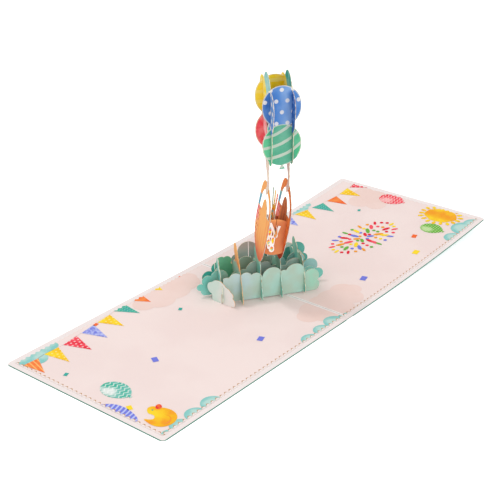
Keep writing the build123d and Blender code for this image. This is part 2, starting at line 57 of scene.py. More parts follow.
class Tint(Enum):
    """Printing inks and papers, as they look on the sheet."""

    WHITE = (0.97, 0.96, 0.95)
    LINING = (0.95, 0.91, 0.9)
    LINING_DEEP = (0.94, 0.895, 0.885)
    THREAD = (0.86, 0.85, 0.86)
    CELADON = (0.68, 0.75, 0.68)
    JADE = (0.25, 0.70, 0.60)
    CREAM = (0.93, 0.90, 0.80)
    SHELL = (0.91, 0.89, 0.87)
    BLUSH = (0.95, 0.88, 0.862)
    BLUSH_DEEP = (0.94, 0.865, 0.848)
    PEACH = (0.945, 0.845, 0.815)
    PEACH_DEEP = (0.935, 0.825, 0.79)
    BURNT = (0.74, 0.55, 0.36)
    PAPER_MINT = (0.8, 0.87, 0.83)
    PALE_MINT = (0.79, 0.89, 0.85)
    MINT = (0.66, 0.85, 0.80)
    SOFT_MINT = (0.66, 0.81, 0.76)
    FRESH_MINT = (0.60, 0.81, 0.72)
    MIST = (0.70, 0.79, 0.79)
    SAGE = (0.65, 0.77, 0.69)
    SEA = (0.45, 0.75, 0.70)
    TEAL = (0.22, 0.67, 0.62)
    DEEP_TEAL = (0.34, 0.64, 0.59)
    PINE = (0.44, 0.73, 0.56)
    # Darker than the cover's green: partly the board's edge, partly painted shadow along the cover's thin
    # edge. The duck's eye uses it too.
    EDGE_GREEN = (0.3, 0.52, 0.45)
    OLIVE = (0.66, 0.7, 0.62)
    CLAY = (0.82, 0.71, 0.67)
    STONE = (0.7, 0.75, 0.72)
    SLATE = (0.62, 0.77, 0.76)
    SKY = (0.53, 0.79, 0.77)
    PALE_SKY = (0.73, 0.86, 0.83)
    BLUE = (0.31, 0.52, 0.79)
    DEEP_BLUE = (0.21, 0.41, 0.69)
    LIGHT_BLUE = (0.52, 0.66, 0.85)
    VIOLET = (0.46, 0.49, 0.87)
    PALE_VIOLET = (0.74, 0.77, 0.95)
    GREEN = (0.27, 0.72, 0.5)
    DEEP_GREEN = (0.34, 0.66, 0.54)
    LEAF = (0.42, 0.7, 0.24)
    PALE_LEAF = (0.80, 0.90, 0.66)
    PALE_GREEN = (0.74, 0.79, 0.73)
    YELLOW = (0.99, 0.86, 0.16)
    SUNNY = (1.0, 0.83, 0.1)
    PALE_YELLOW = (0.98, 0.89, 0.50)
    GOLD = (0.97, 0.74, 0.08)
    AMBER = (0.96, 0.62, 0.12)
    APRICOT = (1.0, 0.72, 0.42)
    ORANGE = (0.97, 0.56, 0.28)
    DEEP_ORANGE = (0.96, 0.42, 0.18)
    RUST = (0.85, 0.53, 0.34)
    BROWN = (0.77, 0.44, 0.27)
    MAROON = (0.52, 0.18, 0.10)
    CORAL = (0.93, 0.46, 0.36)
    BRICK = (0.80, 0.24, 0.13)
    RED = (0.90, 0.13, 0.22)
    ROSE = (0.97, 0.33, 0.39)
    SALMON = (0.98, 0.58, 0.58)
    PINK = (0.98, 0.76, 0.75)

    def rgba(self) -> tuple[float, float, float, float]:
        """Give the ink as linear red, green, blue and alpha."""
        linear = [c / 12.92 if c <= 0.04045 else ((c + 0.055) / 1.055) ** 2.4 for c in self.value]
        return linear[0], linear[1], linear[2], 1.0


Colour = Socket | Tint
Stops = tuple[tuple[float, Tint], ...]


class Side(Enum):
    """The card's two panels."""

    LEFT = "left"
    RIGHT = "right"


@dataclass(frozen=True, eq=False)
class Signal:
    """A number that a graph's nodes work out at each point, with the usual arithmetic."""

    graph: "Graph"
    socket: Socket

    def __add__(self, other: "Value") -> "Signal":
        """Add a value."""
        return self.graph.math("ADD", self, other)

    def __sub__(self, other: "Value") -> "Signal":
        """Take a value away."""
        return self.graph.math("SUBTRACT", self, other)

    def __rsub__(self, other: float) -> "Signal":
        """Take this value away from a number."""
        return self.graph.math("SUBTRACT", other, self)

    def __mul__(self, other: "Value") -> "Signal":
        """Multiply; the product of two masks is 1 where both are."""
        return self.graph.math("MULTIPLY", self, other)

    def __truediv__(self, other: "Value") -> "Signal":
        """Divide by a value."""
        return self.graph.math("DIVIDE", self, other)

    def __pow__(self, power: float) -> "Signal":
        """Raise to a power."""
        return self.graph.math("POWER", self, power)

    def __abs__(self) -> "Signal":
        """Drop the sign."""
        return self.graph.math("ABSOLUTE", self)

    def __lt__(self, limit: float) -> "Signal":
        """Give 1 where this value is below a limit, else 0."""
        return self.graph.math("LESS_THAN", self, limit)

    def __gt__(self, limit: float) -> "Signal":
        """Give 1 where this value is above a limit, else 0."""
        return self.graph.math("GREATER_THAN", self, limit)

    def rise(self, low: float, high: float) -> "Signal":
        """Give 0 below low and 1 above high, with a soft step between.

        Args:
            low: where the step starts.
            high: where it ends.

        Returns:
            The step.
        """
        made = self.graph.node("ShaderNodeMapRange", interpolation_type="SMOOTHSTEP")
        self.graph.feed(made.inputs["Value"], self)
        made.inputs["From Min"].default_value = low
        made.inputs["From Max"].default_value = high
        return Signal(self.graph, made.outputs["Result"])

    def fall(self, low: float, high: float) -> "Signal":
        """Give 1 below low and 0 above high, with a soft step between."""
        return 1.0 - self.rise(low, high)


Value = Signal | float


@dataclass(frozen=True)
class Paper:
    """The feel of a paper: its sheen, and its grain in millimetres."""

    roughness: float = 0.82
    specular: float = 0.25
    grain: float = 0.5
    depth: float = 0.03
    relief: float = 0.25


class Graph:
    """Short calls that build one paper material's nodes."""

    def __init__(self, name: str) -> None:
        """Make the material and find its shader and its place.

        Args:
            name: name of the material.
        """
        self.material = bpy.data.materials.new(name)
        self.material.use_nodes = True
        self.tree = self.material.node_tree
        self.shader = self.tree.nodes["Principled BSDF"]
        self.place = self.node("ShaderNodeTexCoord").outputs["Object"]

    def node(self, kind: str, **settings: object) -> bpy.types.Node:
        """Add a node and set its properties.

        Args:
            kind: the node's type.
            settings: its properties.

        Returns:
            The node.
        """
        made = self.tree.nodes.new(kind)
        for key, value in settings.items():
            setattr(made, key, value)
        return made

    def feed(self, socket: Socket, value: object) -> None:
        """Link an input to an output, or give it a value.

        Args:
            socket: the input to feed.
            value: a signal, a socket, an ink, a number or a vector.
        """
        if isinstance(value, Signal):
            value = value.socket
        if isinstance(value, bpy.types.NodeSocket):
            self.tree.links.new(value, socket)
        elif isinstance(value, Tint):
            socket.default_value = value.rgba()
        else:
            socket.default_value = value

    def math(self, operation: str, *values: Value) -> Signal:
        """Add a Math node and give its output.

        Args:
            operation: what it works out.
            values: its inputs, in order.

        Returns:
            The output.
        """
        made = self.node("ShaderNodeMath", operation=operation)
        for socket, value in zip(made.inputs, values):
            self.feed(socket, value)
        return Signal(self, made.outputs[0])

    def dot(self, vector: Socket, direction: Sequence[float]) -> Signal:
        """Give the part of a vector that lies along a direction.

        Args:
            vector: the vector.
            direction: the direction.

        Returns:
            The part along it.
        """
        made = self.node("ShaderNodeVectorMath", operation="DOT_PRODUCT")
        self.feed(made.inputs[0], vector)
        self.feed(made.inputs[1], tuple(direction))
        return Signal(self, made.outputs["Value"])

    def along(self, direction: Sequence[float]) -> Signal:
        """Give the place along a direction, in millimetres."""
        return self.dot(self.place, [part / MM for part in direction])

    def plan(self) -> tuple[Signal, Signal]:
        """Give the place seen from above: from the fold and along it, in millimetres."""
        return self.along((1, 0, 0)), self.along((0, 1, 0))

    def facing(self, direction: Sequence[float]) -> Signal:
        """Give how squarely the surface faces a direction, from -1 to 1."""
        return self.dot(self.node("ShaderNodeNewGeometry").outputs["True Normal"], direction)

    def mix(self, factor: Value, first: Colour, second: Colour) -> Socket:
        """Mix two colours: the first at factor 0, the second at 1.

        Args:
            factor: the share of the second.
            first: a colour.
            second: another colour.

        Returns:
            The mixed colour.
        """
        made = self.node("ShaderNodeMix", data_type="RGBA")
        self.feed(made.inputs[0], factor)
        self.feed(made.inputs[6], first)
        self.feed(made.inputs[7], second)
        return made.outputs[2]

    def noise(self, size: float, detail: float = 2.0, shift: float = 0.0) -> Signal:
        """Give noise, 0 to 1.

        Args:
            size: size of its blots in millimetres.
            detail: how many finer layers it has.
            shift: which noise it is; another number gives other blots.

        Returns:
            The noise.
        """
        made = self.node("ShaderNodeTexNoise", noise_dimensions="4D")
        self.feed(made.inputs["Vector"], self.place)
        made.inputs["W"].default_value = shift
        made.inputs["Scale"].default_value = 1 / (size * MM)
        made.inputs["Detail"].default_value = detail
        return Signal(self, made.outputs["Fac"])

    def wander(self, size: float, reach: float, detail: float, shift: float = 0.0) -> Signal:
        """Give noise about zero, half its reach to either side."""
        return (self.noise(size, detail, shift) - 0.5) * reach

    def ramp(self, value: Signal, stops: Stops) -> Socket:
        """Give the inks that run into each other as a value grows.

        Args:
            value: the value in millimetres.
            stops: the values at which an ink is pure, in growing order.

        Returns:
            The colour.
        """
        low, high = stops[0][0], stops[-1][0]
        made = self.node("ShaderNodeValToRGB")
        elements = made.color_ramp.elements
        elements[0].color = stops[0][1].rgba()
        elements[1].color = stops[-1][1].rgba()
        for place, ink in stops[1:-1]:
            elements.new((place - low) / (high - low)).color = ink.rgba()
        self.feed(made.inputs[0], (value - low) / (high - low))
        return made.outputs["Color"]

    def finish(self, colour: Colour, paper: Paper = Paper()) -> bpy.types.Material:
        """Close the material with the paper's sheen and grain.

        Args:
            colour: the base colour.
            paper: the paper.

        Returns:
            The material.
        """
        self.feed(self.shader.inputs["Base Color"], colour)
        self.shader.inputs["Roughness"].default_value = paper.roughness
        self.shader.inputs["Specular IOR Level"].default_value = paper.specular
        bump = self.node("ShaderNodeBump")
        bump.inputs["Strength"].default_value = paper.relief
        bump.inputs["Distance"].default_value = paper.depth * MM
        self.feed(bump.inputs["Height"], self.noise(paper.grain, 3.0))
        self.feed(self.shader.inputs["Normal"], bump.outputs["Normal"])
        return self.material


def length(first: Signal, second: Signal) -> Signal:
    """Give the length of a pair of numbers."""
    return first.graph.math("SQRT", first**2 + second**2)


def turned(u: Signal, v: Signal, angle: float) -> tuple[Signal, Signal]:
    """Give a point's places along and across a direction at an angle in degrees."""
    c, s = cos(radians(angle)), sin(radians(angle))
    return u * c + v * s, v * c - u * s


def inside(u: Signal, v: Signal, shape: Ellipse) -> Signal:
    """Give how far out a point lies in an ellipse: 0 in the middle, 1 on its outline.

    Args:
        u: first coordinate in millimetres.
        v: second coordinate in millimetres.
        shape: the ellipse's middle, half sizes and turn in degrees.

    Returns:
        The distance as a share of the ellipse's size.
    """
    x, y, half_width, half_height, angle = shape
    along, across = turned(u - x, v - y, angle)
    return length(along / half_width, across / half_height)


def nearest(u: Signal, v: Signal, shapes: Sequence[Ellipse]) -> Signal:
    """Give the least of a point's distances in several ellipses.

    Args:
        u: first coordinate in millimetres.
        v: second coordinate in millimetres.
        shapes: the ellipses.

    Returns:
        The least distance.
    """
    least = inside(u, v, shapes[0])
    for shape in shapes[1:]:
        least = u.graph.math("MINIMUM", least, inside(u, v, shape))
    return least


class Place(NamedTuple):
    """A place that is painted: the material's graph and two coordinates in millimetres."""

    graph: Graph
    u: Signal
    v: Signal


class Print:
    """What is printed on a sheet or a field; each kind paints itself."""

    def paint(self, place: Place) -> Socket:
        """Give the print's colour at a place."""
        raise NotImplementedError


@dataclass(frozen=True)
class Wash(Print):
    """A watercolour wash of two inks."""

    light: Tint
    deep: Tint
    size: float = 14.0
    shift: float = 0.0
    edge: Point = (0.38, 0.62)

    def paint(self, place: Place) -> Socket:
        """Paint the wash, which is the same at any coordinates."""
        blots = place.graph.noise(self.size, 3.0, self.shift).rise(*self.edge)
        return place.graph.mix(blots, self.light, self.deep)


@dataclass(frozen=True)
class Run(Print):
    """Inks that run into each other along or up the sheet, with blots of another ink."""

    stops: Stops
    blot: Tint
    strength: float = 0.35
    size: float = 12.0
    shift: float = 0.0
    upward: bool = False
    reach: float = 14.0
    reach_size: float = 9.0
    edge: Point = (0.36, 0.66)

    def paint(self, place: Place) -> Socket:
        """Paint the run and its blots.

        Args:
            place: the place that is painted.

        Returns:
            The colour.
        """
        graph, u, v = place
        wander = graph.wander(self.reach_size, self.reach, 2.0, self.shift + 3)
        base = graph.ramp((v if self.upward else u) + wander, self.stops)
        blots = graph.noise(self.size, 3.0, self.shift).rise(*self.edge)
        return graph.mix(blots * self.strength, base, self.blot)


@dataclass(frozen=True)
class Dots(Print):
    """Round dots in offset rows on another print."""

    ground: Print
    mark: Tint
    pitch: float
    radius: float
    origin: Point = (0.0, 0.0)
    strength: float = 1.0
    rim: Point = (0.85, 1.1)

    def paint(self, place: Place) -> Socket:
        """Paint the ground and its dots.

        Args:
            place: the place that is painted.

        Returns:
            The colour.
        """
        graph, u, v = place
        row = v / self.pitch + (PITCHES - self.origin[1] / self.pitch)
        odd = graph.math("MODULO", graph.math("FLOOR", row), 2.0)
        column = u / self.pitch + (PITCHES - self.origin[0] / self.pitch) + odd * 0.5
        out = length(graph.math("FRACT", column) - 0.5, graph.math("FRACT", row) - 0.5)
        dots = out.fall(*(share * self.radius / self.pitch for share in self.rim)) * self.strength
        return graph.mix(dots, self.ground.paint(place), self.mark)


@dataclass(frozen=True)
class Stripes(Print):
    """Stripes on another print, straight, bent or zigzag."""

    ground: Print
    mark: Tint
    pitch: float
    share: float
    angle: float = 0.0
    zigzag: float = 0.0
    zigzag_length: float = 6.0
    strength: float = 1.0
    bend: float = 0.0
    origin: Point = (0.0, 0.0)
    ragged: float = 0.8
    ragged_size: float = 7.0

    def paint(self, place: Place) -> Socket:
        """Paint the ground and its stripes.

        Args:
            place: the place that is painted.

        Returns:
            The colour.
        """
        graph, u, v = place
        along, across = turned(u - self.origin[0], v - self.origin[1], self.angle)
        lift = graph.math("PINGPONG", along, self.zigzag_length / 2) * self.zigzag
        bent = across + lift + (along**2 * -self.bend + graph.wander(self.ragged_size, self.ragged, 1.0))
        turn = graph.math("FRACT", bent / self.pitch + PITCHES)
        return graph.mix((turn < self.share) * self.strength, self.ground.paint(place), self.mark)


@dataclass(frozen=True)
class Glow(Print):
    """A print that pales towards one place, as watercolour does where it was wet."""

    ground: Print
    pale: Tint
    shape: Ellipse
    strength: float = 0.9
    fade: Point = (0.25, 1.0)
    ragged: float = 0.8

    def paint(self, place: Place) -> Socket:
        """Paint the print and its pale place.

        Args:
            place: the place that is painted.

        Returns:
            The colour.
        """
        graph, u, v = place
        out = inside(u, v, self.shape) + graph.wander(4.0, self.ragged, 3.0, 61.0)
        return graph.mix(out.fall(*self.fade) * self.strength, self.ground.paint(place), self.pale)


@dataclass(frozen=True)
class Lobes(Print):
    """A watercolour cloud, deeper along the rim of its lobes."""

    light: Tint
    deep: Tint
    discs: tuple[Disc, ...]
    fade: Point = (0.35, 1.0)
    ragged: float = 1.1

    def paint(self, place: Place) -> Socket:
        """Paint the cloud and its rim.

        Args:
            place: the place that is painted.

        Returns:
            The colour.
        """
        graph, u, v = place
        out = nearest(u, v, [(x, y, radius, radius, 0.0) for x, y, radius in self.discs])
        blots = graph.wander(6.0, self.ragged, 3.0, 62.0)
        return graph.mix((out + blots).rise(*self.fade), self.light, self.deep)


def liner_top() -> float:
    """Give the height of the liners' printed side at the fold, in millimetres."""
    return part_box("liner_left")[1].z / MM


@dataclass(frozen=True)
class Sheet:
    """The plane of an upright sheet: a point on it and its direction seen from above."""

    origin: Point
    angle: float
    base: float
    cut: Point = (0.55, 0.75)
    burn_size: float = 2.5
    burn_edge: Point = (0.40, 0.72)

    def coordinates(self, graph: Graph) -> tuple[Signal, Signal]:
        """Give the place along the sheet and the height above the liner, in millimetres.

        Args:
            graph: the material's graph.

        Returns:
            The two coordinates.
        """
        direction = (cos(radians(self.angle)), sin(radians(self.angle)), 0.0)
        offset = self.origin[0] * direction[0] + self.origin[1] * direction[1]
        return graph.along(direction) - offset, graph.along((0, 0, 1)) - self.base

    def face(self, graph: Graph) -> Signal:
        """Give 1 on the sheet's two printed faces and 0 on its cut edges."""
        normal = (sin(radians(self.angle)), -cos(radians(self.angle)), 0.0)
        return abs(graph.facing(normal)).rise(*self.cut)


def dress(node: str, material: bpy.types.Material) -> None:
    """Give a node its finish.

    Args:
        node: name of the node.
        material: the finish.
    """
    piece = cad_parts[node]
    piece.data.materials.clear()
    piece.data.materials.append(material)
    LOG.info("dressed %s", node)


def dress_sheet(node: str, sheet: Sheet, ink: Print, edge: Tint = Tint.CREAM) -> None:
    """Give an upright sheet its print and its cut edge.

    Args:
        node: name of the sheet's node.
        sheet: the sheet's plane.
        ink: what is printed on its faces.
        edge: the colour of the cut edge, which is burnt in places.
    """
    graph = Graph(f"{node}_print")
    u, v = sheet.coordinates(graph)
    burn = graph.mix(graph.noise(sheet.burn_size, 1.0).rise(*sheet.burn_edge), edge, Tint.BURNT)
    dress(node, graph.finish(graph.mix(sheet.face(graph), burn, ink.paint(Place(graph, u, v)))))


@dataclass(frozen=True)
class Crest(Print):
    """A print that blushes at the crest of the sheet's first lobe."""

    ground: Print
    blush: Tint
    heights: Point = (14.0, 24.0)
    end: float = 42.0
    strength: float = 0.75

    def paint(self, place: Place) -> Socket:
        """Paint the print and its blush.

        Args:
            place: the place that is painted.

        Returns:
            The colour.
        """
        graph, u, v = place
        crest = v.rise(*self.heights) * (u < self.end)
        return graph.mix(crest * self.strength, self.ground.paint(place), self.blush)


@dataclass
class Lattice:
    """The slotted cloud sheets; what stands above them takes its planes from here."""

    corner: Point = (-41.5, 13.0)
    long_angle: float = -35.0
    cross_angle: float = 51.0
    long_stations: tuple[float, ...] = (0.0, 16.0, 32.0, 47.7)
    cross_stations: tuple[float, ...] = (0.0, 14.5, 30.3, 46.0, 64.7)
    base: float = field(default_factory=liner_top)

    @property
    def basket_stations(self) -> Point:
        """Give the places of the two cross sheets that the basket and the balloons stand on."""
        return self.cross_stations[2], self.cross_stations[3]

    def point(self, along: float, across: float) -> Point:
        """Give a lattice point's X and Y in millimetres.

        Args:
            along: way along the long sheets.
            across: way along the cross sheets.

        Returns:
            The point.
        """
        a, b = radians(self.long_angle), radians(self.cross_angle)
        x = self.corner[0] + along * cos(a) + across * cos(b)
        y = self.corner[1] + along * sin(a) + across * sin(b)
        return x, y

    def long_sheet(self, station: float) -> Sheet:
        """Give the plane of a long sheet."""
        return Sheet(self.point(0, station), self.long_angle, self.base)

    def cross_sheet(self, station: float) -> Sheet:
        """Give the plane of a cross sheet."""
        return Sheet(self.point(station, 0), self.cross_angle, self.base)

    def long_prints(self) -> tuple[Print, ...]:
        """Choose the inks of the long sheets; the last blushes at its crest. The inks are partly print and
        partly painted shade: each sheet's ink turns greener and greyer where a cross sheet shades it, and
        the farther sheets are deeper in colour, for the shade deeper in the lattice.

        Returns:
            The prints, the nearest sheet's first.
        """
        mist, soft, fresh = Tint.MIST, Tint.SOFT_MINT, Tint.FRESH_MINT
        first = ((0, mist), (22, mist), (30, soft), (62, soft), (70, fresh))
        sea, sage, stone = Tint.SEA, Tint.SAGE, Tint.STONE
        # Painted shade: pine between the first and second cross sheets stands for the shade the first cross
        # sheet casts; the teal beyond it is the lit print.
        second = ((-4, sea), (4, sage), (16, sage), (28, stone), (60, stone), (76, sea))
        teal, pine, olive, slate = Tint.TEAL, Tint.PINE, Tint.OLIVE, Tint.SLATE
        third = ((-2, teal), (3, pine), (15, pine), (20, olive), (40, olive), (56, slate), (74, slate))
        last = ((16, stone), (38, stone), (48, Tint.DEEP_TEAL), (72, Tint.DEEP_TEAL))
        return (
            Run(first, Tint.CELADON, 0.75, 13, 1.0),
            Run(second, Tint.MINT, 0.35, 13, 2.0),
            Run(third, sea, 0.25, 14, 3.0),
            Crest(Run(last, sea, 0.4, 13, 4.0), Tint.CLAY),
        )

    def dress_longs(self) -> None:
        """Dress the long sheets."""
        for number, (station, ink) in enumerate(zip(self.long_stations, self.long_prints()), 1):
            dress_sheet(f"cloud_long_{number}", self.long_sheet(station), ink)

    def dress_crosses(self) -> None:
        """Dress the cross sheets that are cloud only; the second is orange above its cloud."""
        stops = ((20, Tint.SAGE), (24, Tint.SAGE), (27, Tint.ORANGE), (34, Tint.APRICOT))
        for number, ink, edge in (
            (1, Wash(Tint.PALE_MINT, Tint.SEA, 12, 9.0), Tint.CREAM),
            (2, Run(stops, Tint.MINT, 0.15, 9, 10.0, upward=True), Tint.APRICOT),
            (5, Wash(Tint.FRESH_MINT, Tint.SEA, 12, 11.0), Tint.CREAM),
        ):
            sheet = self.cross_sheet(self.cross_stations[number - 1])
            dress_sheet(f"cloud_cross_{number}", sheet, ink, edge)

    def dress_small(self) -> None:
        """Dress the two small clouds, each pale and half of it almost white."""
        ink = Run(((-3, Tint.SHELL), (3, Tint.PAPER_MINT)), Tint.PALE_MINT, 0.35, 9, 12.0)
        for side in Side:
            name = f"small_cloud_{side.value}"
            low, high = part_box(name)
            middle = ((low.x + high.x) / 2 / MM, (low.y + high.y) / 2 / MM)
            dress_sheet(name, Sheet(middle, 90, self.base), ink, Tint.APRICOT)

    def dress(self) -> None:
        """Dress the long sheets, the cross sheets and the two small clouds."""
        self.dress_longs()
        self.dress_crosses()
        self.dress_small()


@dataclass(frozen=True)
class BasketShape:
    """The ellipses of a basket side about one middle, in the coordinates of its sheet."""

    middle: Point = (8.0, 60.5)
    halves: Point = (20.5, 31.5)
    handle: Point = (16.5, 24.5)
    heap: Point = (9.0, 17.0)
    handle_floor: float = 67.0

    def inside(self, u: Signal, v: Signal, halves: Point) -> Signal:
        """Give how far out a point lies in the ellipse of these half sizes."""
        return inside(u, v, (*self.middle, *halves, 0.0))


@dataclass(frozen=True)
class Skin(Print):
    """The basket's skin: two inks in soft upright ribs that follow its bulge."""

    shape: BasketShape
    light: Tint
    deep: Tint
    pitch: float = 6.5
    strength: float = 0.5
    bulge: float = 1.05
    least: float = 0.02
    edge: Point = (-0.6, 1.0)

    def paint(self, place: Place) -> Socket:
        """Paint the ribs, narrower towards the basket's top and foot.

        Args:
            place: the place that is painted.

        Returns:
            The colour.
        """
        graph, u, v = place
        height = (v - self.shape.middle[1]) / self.shape.halves[1]
        width = graph.math("SQRT", graph.math("MAXIMUM", self.bulge - height**2, self.least))
        rib = (u - self.shape.middle[0]) / width
        streak = graph.math("SINE", rib * (2 * pi / self.pitch)).rise(*self.edge)
        return graph.mix(streak * self.strength, self.light, self.deep)


@dataclass(frozen=True)
class SidePrint(Print):
    """A basket side; pairs are the heights or places between which a part sets in or fades."""

    shape: BasketShape
    light: Tint
    deep: Tint
    rim: Tint
    heap: Tint
    rim_start: Point = (0.78, 1.0)
    rim_fade: Point = (68.0, 82.0)
    rim_strength: float = 0.75
    foot_fade: Point = (33.0, 48.0)
    foot_strength: float = 0.65
    heap_start: Point = (46.0, 60.0)
    far_start: Point = (17.5, 20.0)
    bundle_start: Point = (42.0, 50.0)
    bundle_end: float = 68.0
    ribbon_end: float = 77.0
    skin_end: float = 1.01

    def paint(self, place: Place) -> Socket:
        """Paint the cloud foot, the skin, the rim, the heap, the dotted bundle and the ribbon.

        Args:
            place: the place that is painted.

        Returns:
            The colour.
        """
        graph, u, v = place
        shape = self.shape
        out = shape.inside(u, v, shape.halves)
        colour = Skin(shape, self.light, self.deep).paint(place)
        ragged = out + graph.wander(5.0, 0.7, 2.0, 14.0)
        edge = ragged.rise(*self.rim_start) * v.fall(*self.rim_fade)
        colour = graph.mix(edge * self.rim_strength, colour, self.rim)
        colour = graph.mix(v.fall(*self.foot_fade) * self.foot_strength, colour, self.rim)
        heap = (shape.inside(u, v, shape.heap) < 1.0) * v.rise(*self.heap_start)
        colour = graph.mix(heap, colour, Skin(shape, self.heap, self.light).paint(place))
        far = u.rise(*self.far_start)
        dots = Dots(Wash(Tint.SALMON, self.light, 7, 15.0), Tint.BRICK, 4.2, 0.9)
        bundle = far * (v < self.bundle_end) * v.rise(*self.bundle_start)
        colour = graph.mix(bundle, colour, dots.paint(place))
        handle = (v < self.ribbon_end) * (v > shape.handle_floor)
        ribbon = handle * (shape.inside(u, v, shape.handle) > 1.0) * far
        colour = graph.mix(ribbon, colour, Wash(Tint.BLUE, Tint.SKY, 4, 16.0).paint(place))
        cloud = Wash(Tint.FRESH_MINT, Tint.SEA, 12, 13.0).paint(place)
        return graph.mix(out < self.skin_end, cloud, colour)


@dataclass(frozen=True)
class WallPrint(Print):
    """A basket wall: inks along it, paler above the heights of its rim."""

    stops: Stops
    rim: Point
    rim_strength: float = 0.6

    def paint(self, place: Place) -> Socket:
        """Paint the wall and its rim."""
        skin = Run(self.stops, Tint.RUST, 0.35, 16, 17.0).paint(place)
        return place.graph.mix(place.v.rise(*self.rim) * self.rim_strength, skin, Tint.APRICOT)


@dataclass(frozen=True)
class Patches(Print):
    """A die-cut print: bright patches inside a white border, and streamers above a height."""

    shapes: tuple[Ellipse, ...]
    share: float
    size: float
    top: float
    streamers: Stops = ((1.0, Tint.ROSE), (6.0, Tint.YELLOW), (9.0, Tint.YELLOW), (13.0, Tint.MINT))
    fade: float = 1.0
    blot_size: float = 1.2
    blot_edge: Point = (0.40, 0.43)

    def paint(self, place: Place) -> Socket:
        """Paint the patches, the border and the streamers.

        Args:
            place: the place that is painted.

        Returns:
            The colour.
        """
        graph, u, v = place
        colour: Colour = Tint.YELLOW
        for shift, low, high, ink in (
            (20.0, 0.45, 0.55, Tint.AMBER),
            (21.0, 0.54, 0.57, Tint.CORAL),
            (22.0, 0.60, 0.63, Tint.SKY),
        ):
            colour = graph.mix(graph.noise(self.size, 0.0, shift).rise(low, high), colour, ink)
        blots = graph.noise(self.size * self.blot_size, 0.0, 23.0).rise(*self.blot_edge)
        within = nearest(u, v, self.shapes) < self.share
        body = graph.mix(blots * within, Tint.WHITE, colour)
        above = v.rise(self.top, self.top + self.fade)
        return graph.mix(above, body, graph.ramp(u, self.streamers))


@dataclass
class Basket:
    """The basket: two sides with handles, two walls, the topper and its bow."""

    lattice: Lattice
    shape: BasketShape = BasketShape()
    wall_offset: float = 13.0
    bow_offset: float = 1.2
    bow_place: Point = (40.5, 54.0)
    topper_middle: float = 56.0
    border: float = 2.0
    topper_shapes: tuple[Ellipse, ...] = (
        (0.0, 0.0, 9.5, 12.0, 0.0),
        (-1.0, 11.0, 6.0, 6.0, 0.0),
        (-14.0, 1.0, 5.5, 4.5, 0.0),
        (-1.0, -12.5, 4.5, 6.0, 0.0),
        (10.0, -5.0, 7.0, 4.5, -8.0),
    )
    bow_shapes: tuple[Ellipse, ...] = (
        (0.0, 0.0, 1.8, 2.1, 0.0),
        (-5.3, -4.5, 1.5, 5.8, 6.0),
        (-2.1, -4.0, 1.6, 4.5, -10.0),
        (-3.0, -10.2, 2.0, 2.8, 0.0),
        (-4.1, 4.0, 1.6, 5.2, -5.0),
    )

    def dress_sides(self) -> None:
        """Dress the two sides; the right side's darker inks are painted shade, as the left side shades it.
        """
        left, right = self.lattice.basket_stations
        for name, station, inks in (
            ("basket_side_left", left, (Tint.APRICOT, Tint.ORANGE, Tint.CORAL, Tint.APRICOT)),
            # Painted shade: the right side gets darker inks than the left.
            ("basket_side_right", right, (Tint.ORANGE, Tint.RUST, Tint.BRICK, Tint.BROWN)),
        ):
            ink = SidePrint(self.shape, *inks)
            dress_sheet(name, self.lattice.cross_sheet(station), ink, Tint.PALE_MINT)

    def dress_walls(self) -> None:
        """Dress the two walls."""
        brown, rust = Tint.BROWN, Tint.RUST
        front = WallPrint(((32.0, brown), (40.0, rust), (45.0, rust), (50.0, brown)), (63.0, 67.0))
        back = WallPrint(((30.0, Tint.MAROON), (50.0, brown)), (70.0, 71.0))
        middle = self.shape.middle[0]
        for name, station, ink in (
            ("basket_front_wall", middle - self.wall_offset, front),
            ("basket_back_wall", middle + self.wall_offset, back),
        ):
            dress_sheet(name, self.lattice.long_sheet(station), ink, Tint.APRICOT)

    def patches(self, shapes: Sequence[Ellipse], place: Point, share: float, size: float) -> Patches:
        """Give the die-cut print of the topper or the bow.

        Args:
            shapes: ellipses of the outline about a place.
            place: the place on the sheet.
            share: share of the ellipses' size that is inked.
            size: the patches' size.

        Returns:
            The print.
        """
        x, y = place
        moved = tuple((x + across, y + up, *rest) for across, up, *rest in shapes)
        top = self.topper_middle + self.topper_shapes[0][3] + self.border
        return Patches(moved, share, size, top)

    def dress_bundle(self) -> None:
        """Dress the topper and the bow in front of it."""
        middle = self.shape.middle[0]
        topper = self.patches(self.topper_shapes, (middle, self.topper_middle), 0.84, 3.6)
        station = sum(self.lattice.basket_stations) / 2
        dress_sheet("topper", self.lattice.cross_sheet(station), topper, Tint.WHITE)
        bow = self.patches(self.bow_shapes, self.bow_place, 0.66, 2.4)
        station = middle - self.wall_offset - self.bow_offset
        dress_sheet("bow", self.lattice.long_sheet(station), bow, Tint.WHITE)

    def dress(self) -> None:
        """Dress the sides, the walls, the topper and the bow."""
        self.dress_sides()
        self.dress_walls()
        self.dress_bundle()


@dataclass(frozen=True)
class Pair(Print):
    """Two balloons on one axis, the lower one and its knot over the upper one."""

    upper: Print
    lower: Print
    top: float
    bottom: float
    axis: float
    halves: Point
    rim_start: Point = (0.95, 0.98)
    rim_strength: float = 0.6
    knot_start: float = 0.6

    def rim(self, out: Signal) -> Signal:
        """Give the pale rim that the cut leaves round a balloon."""
        return out.rise(*self.rim_start) * self.rim_strength

    def paint(self, place: Place) -> Socket:
        """Paint the two balloons, their rims and the knot.

        Args:
            place: the place that is painted.

        Returns:
            The colour.
        """
        graph, u, v = place
        above = inside(u, v, (self.axis, self.top, *self.halves, 0.0))
        crown = graph.mix(self.rim(above), self.upper.paint(place), Tint.CREAM)
        out = inside(u, v, (self.axis, self.bottom, *self.halves, 0.0))
        plain = self.lower.paint(place)
        knot = v < self.bottom - self.halves[1] * self.knot_start
        foot = graph.mix(knot, graph.mix(self.rim(out), plain, Tint.CREAM), plain)
        return graph.mix(graph.math("MAXIMUM", out < 1.0, knot), crown, foot)


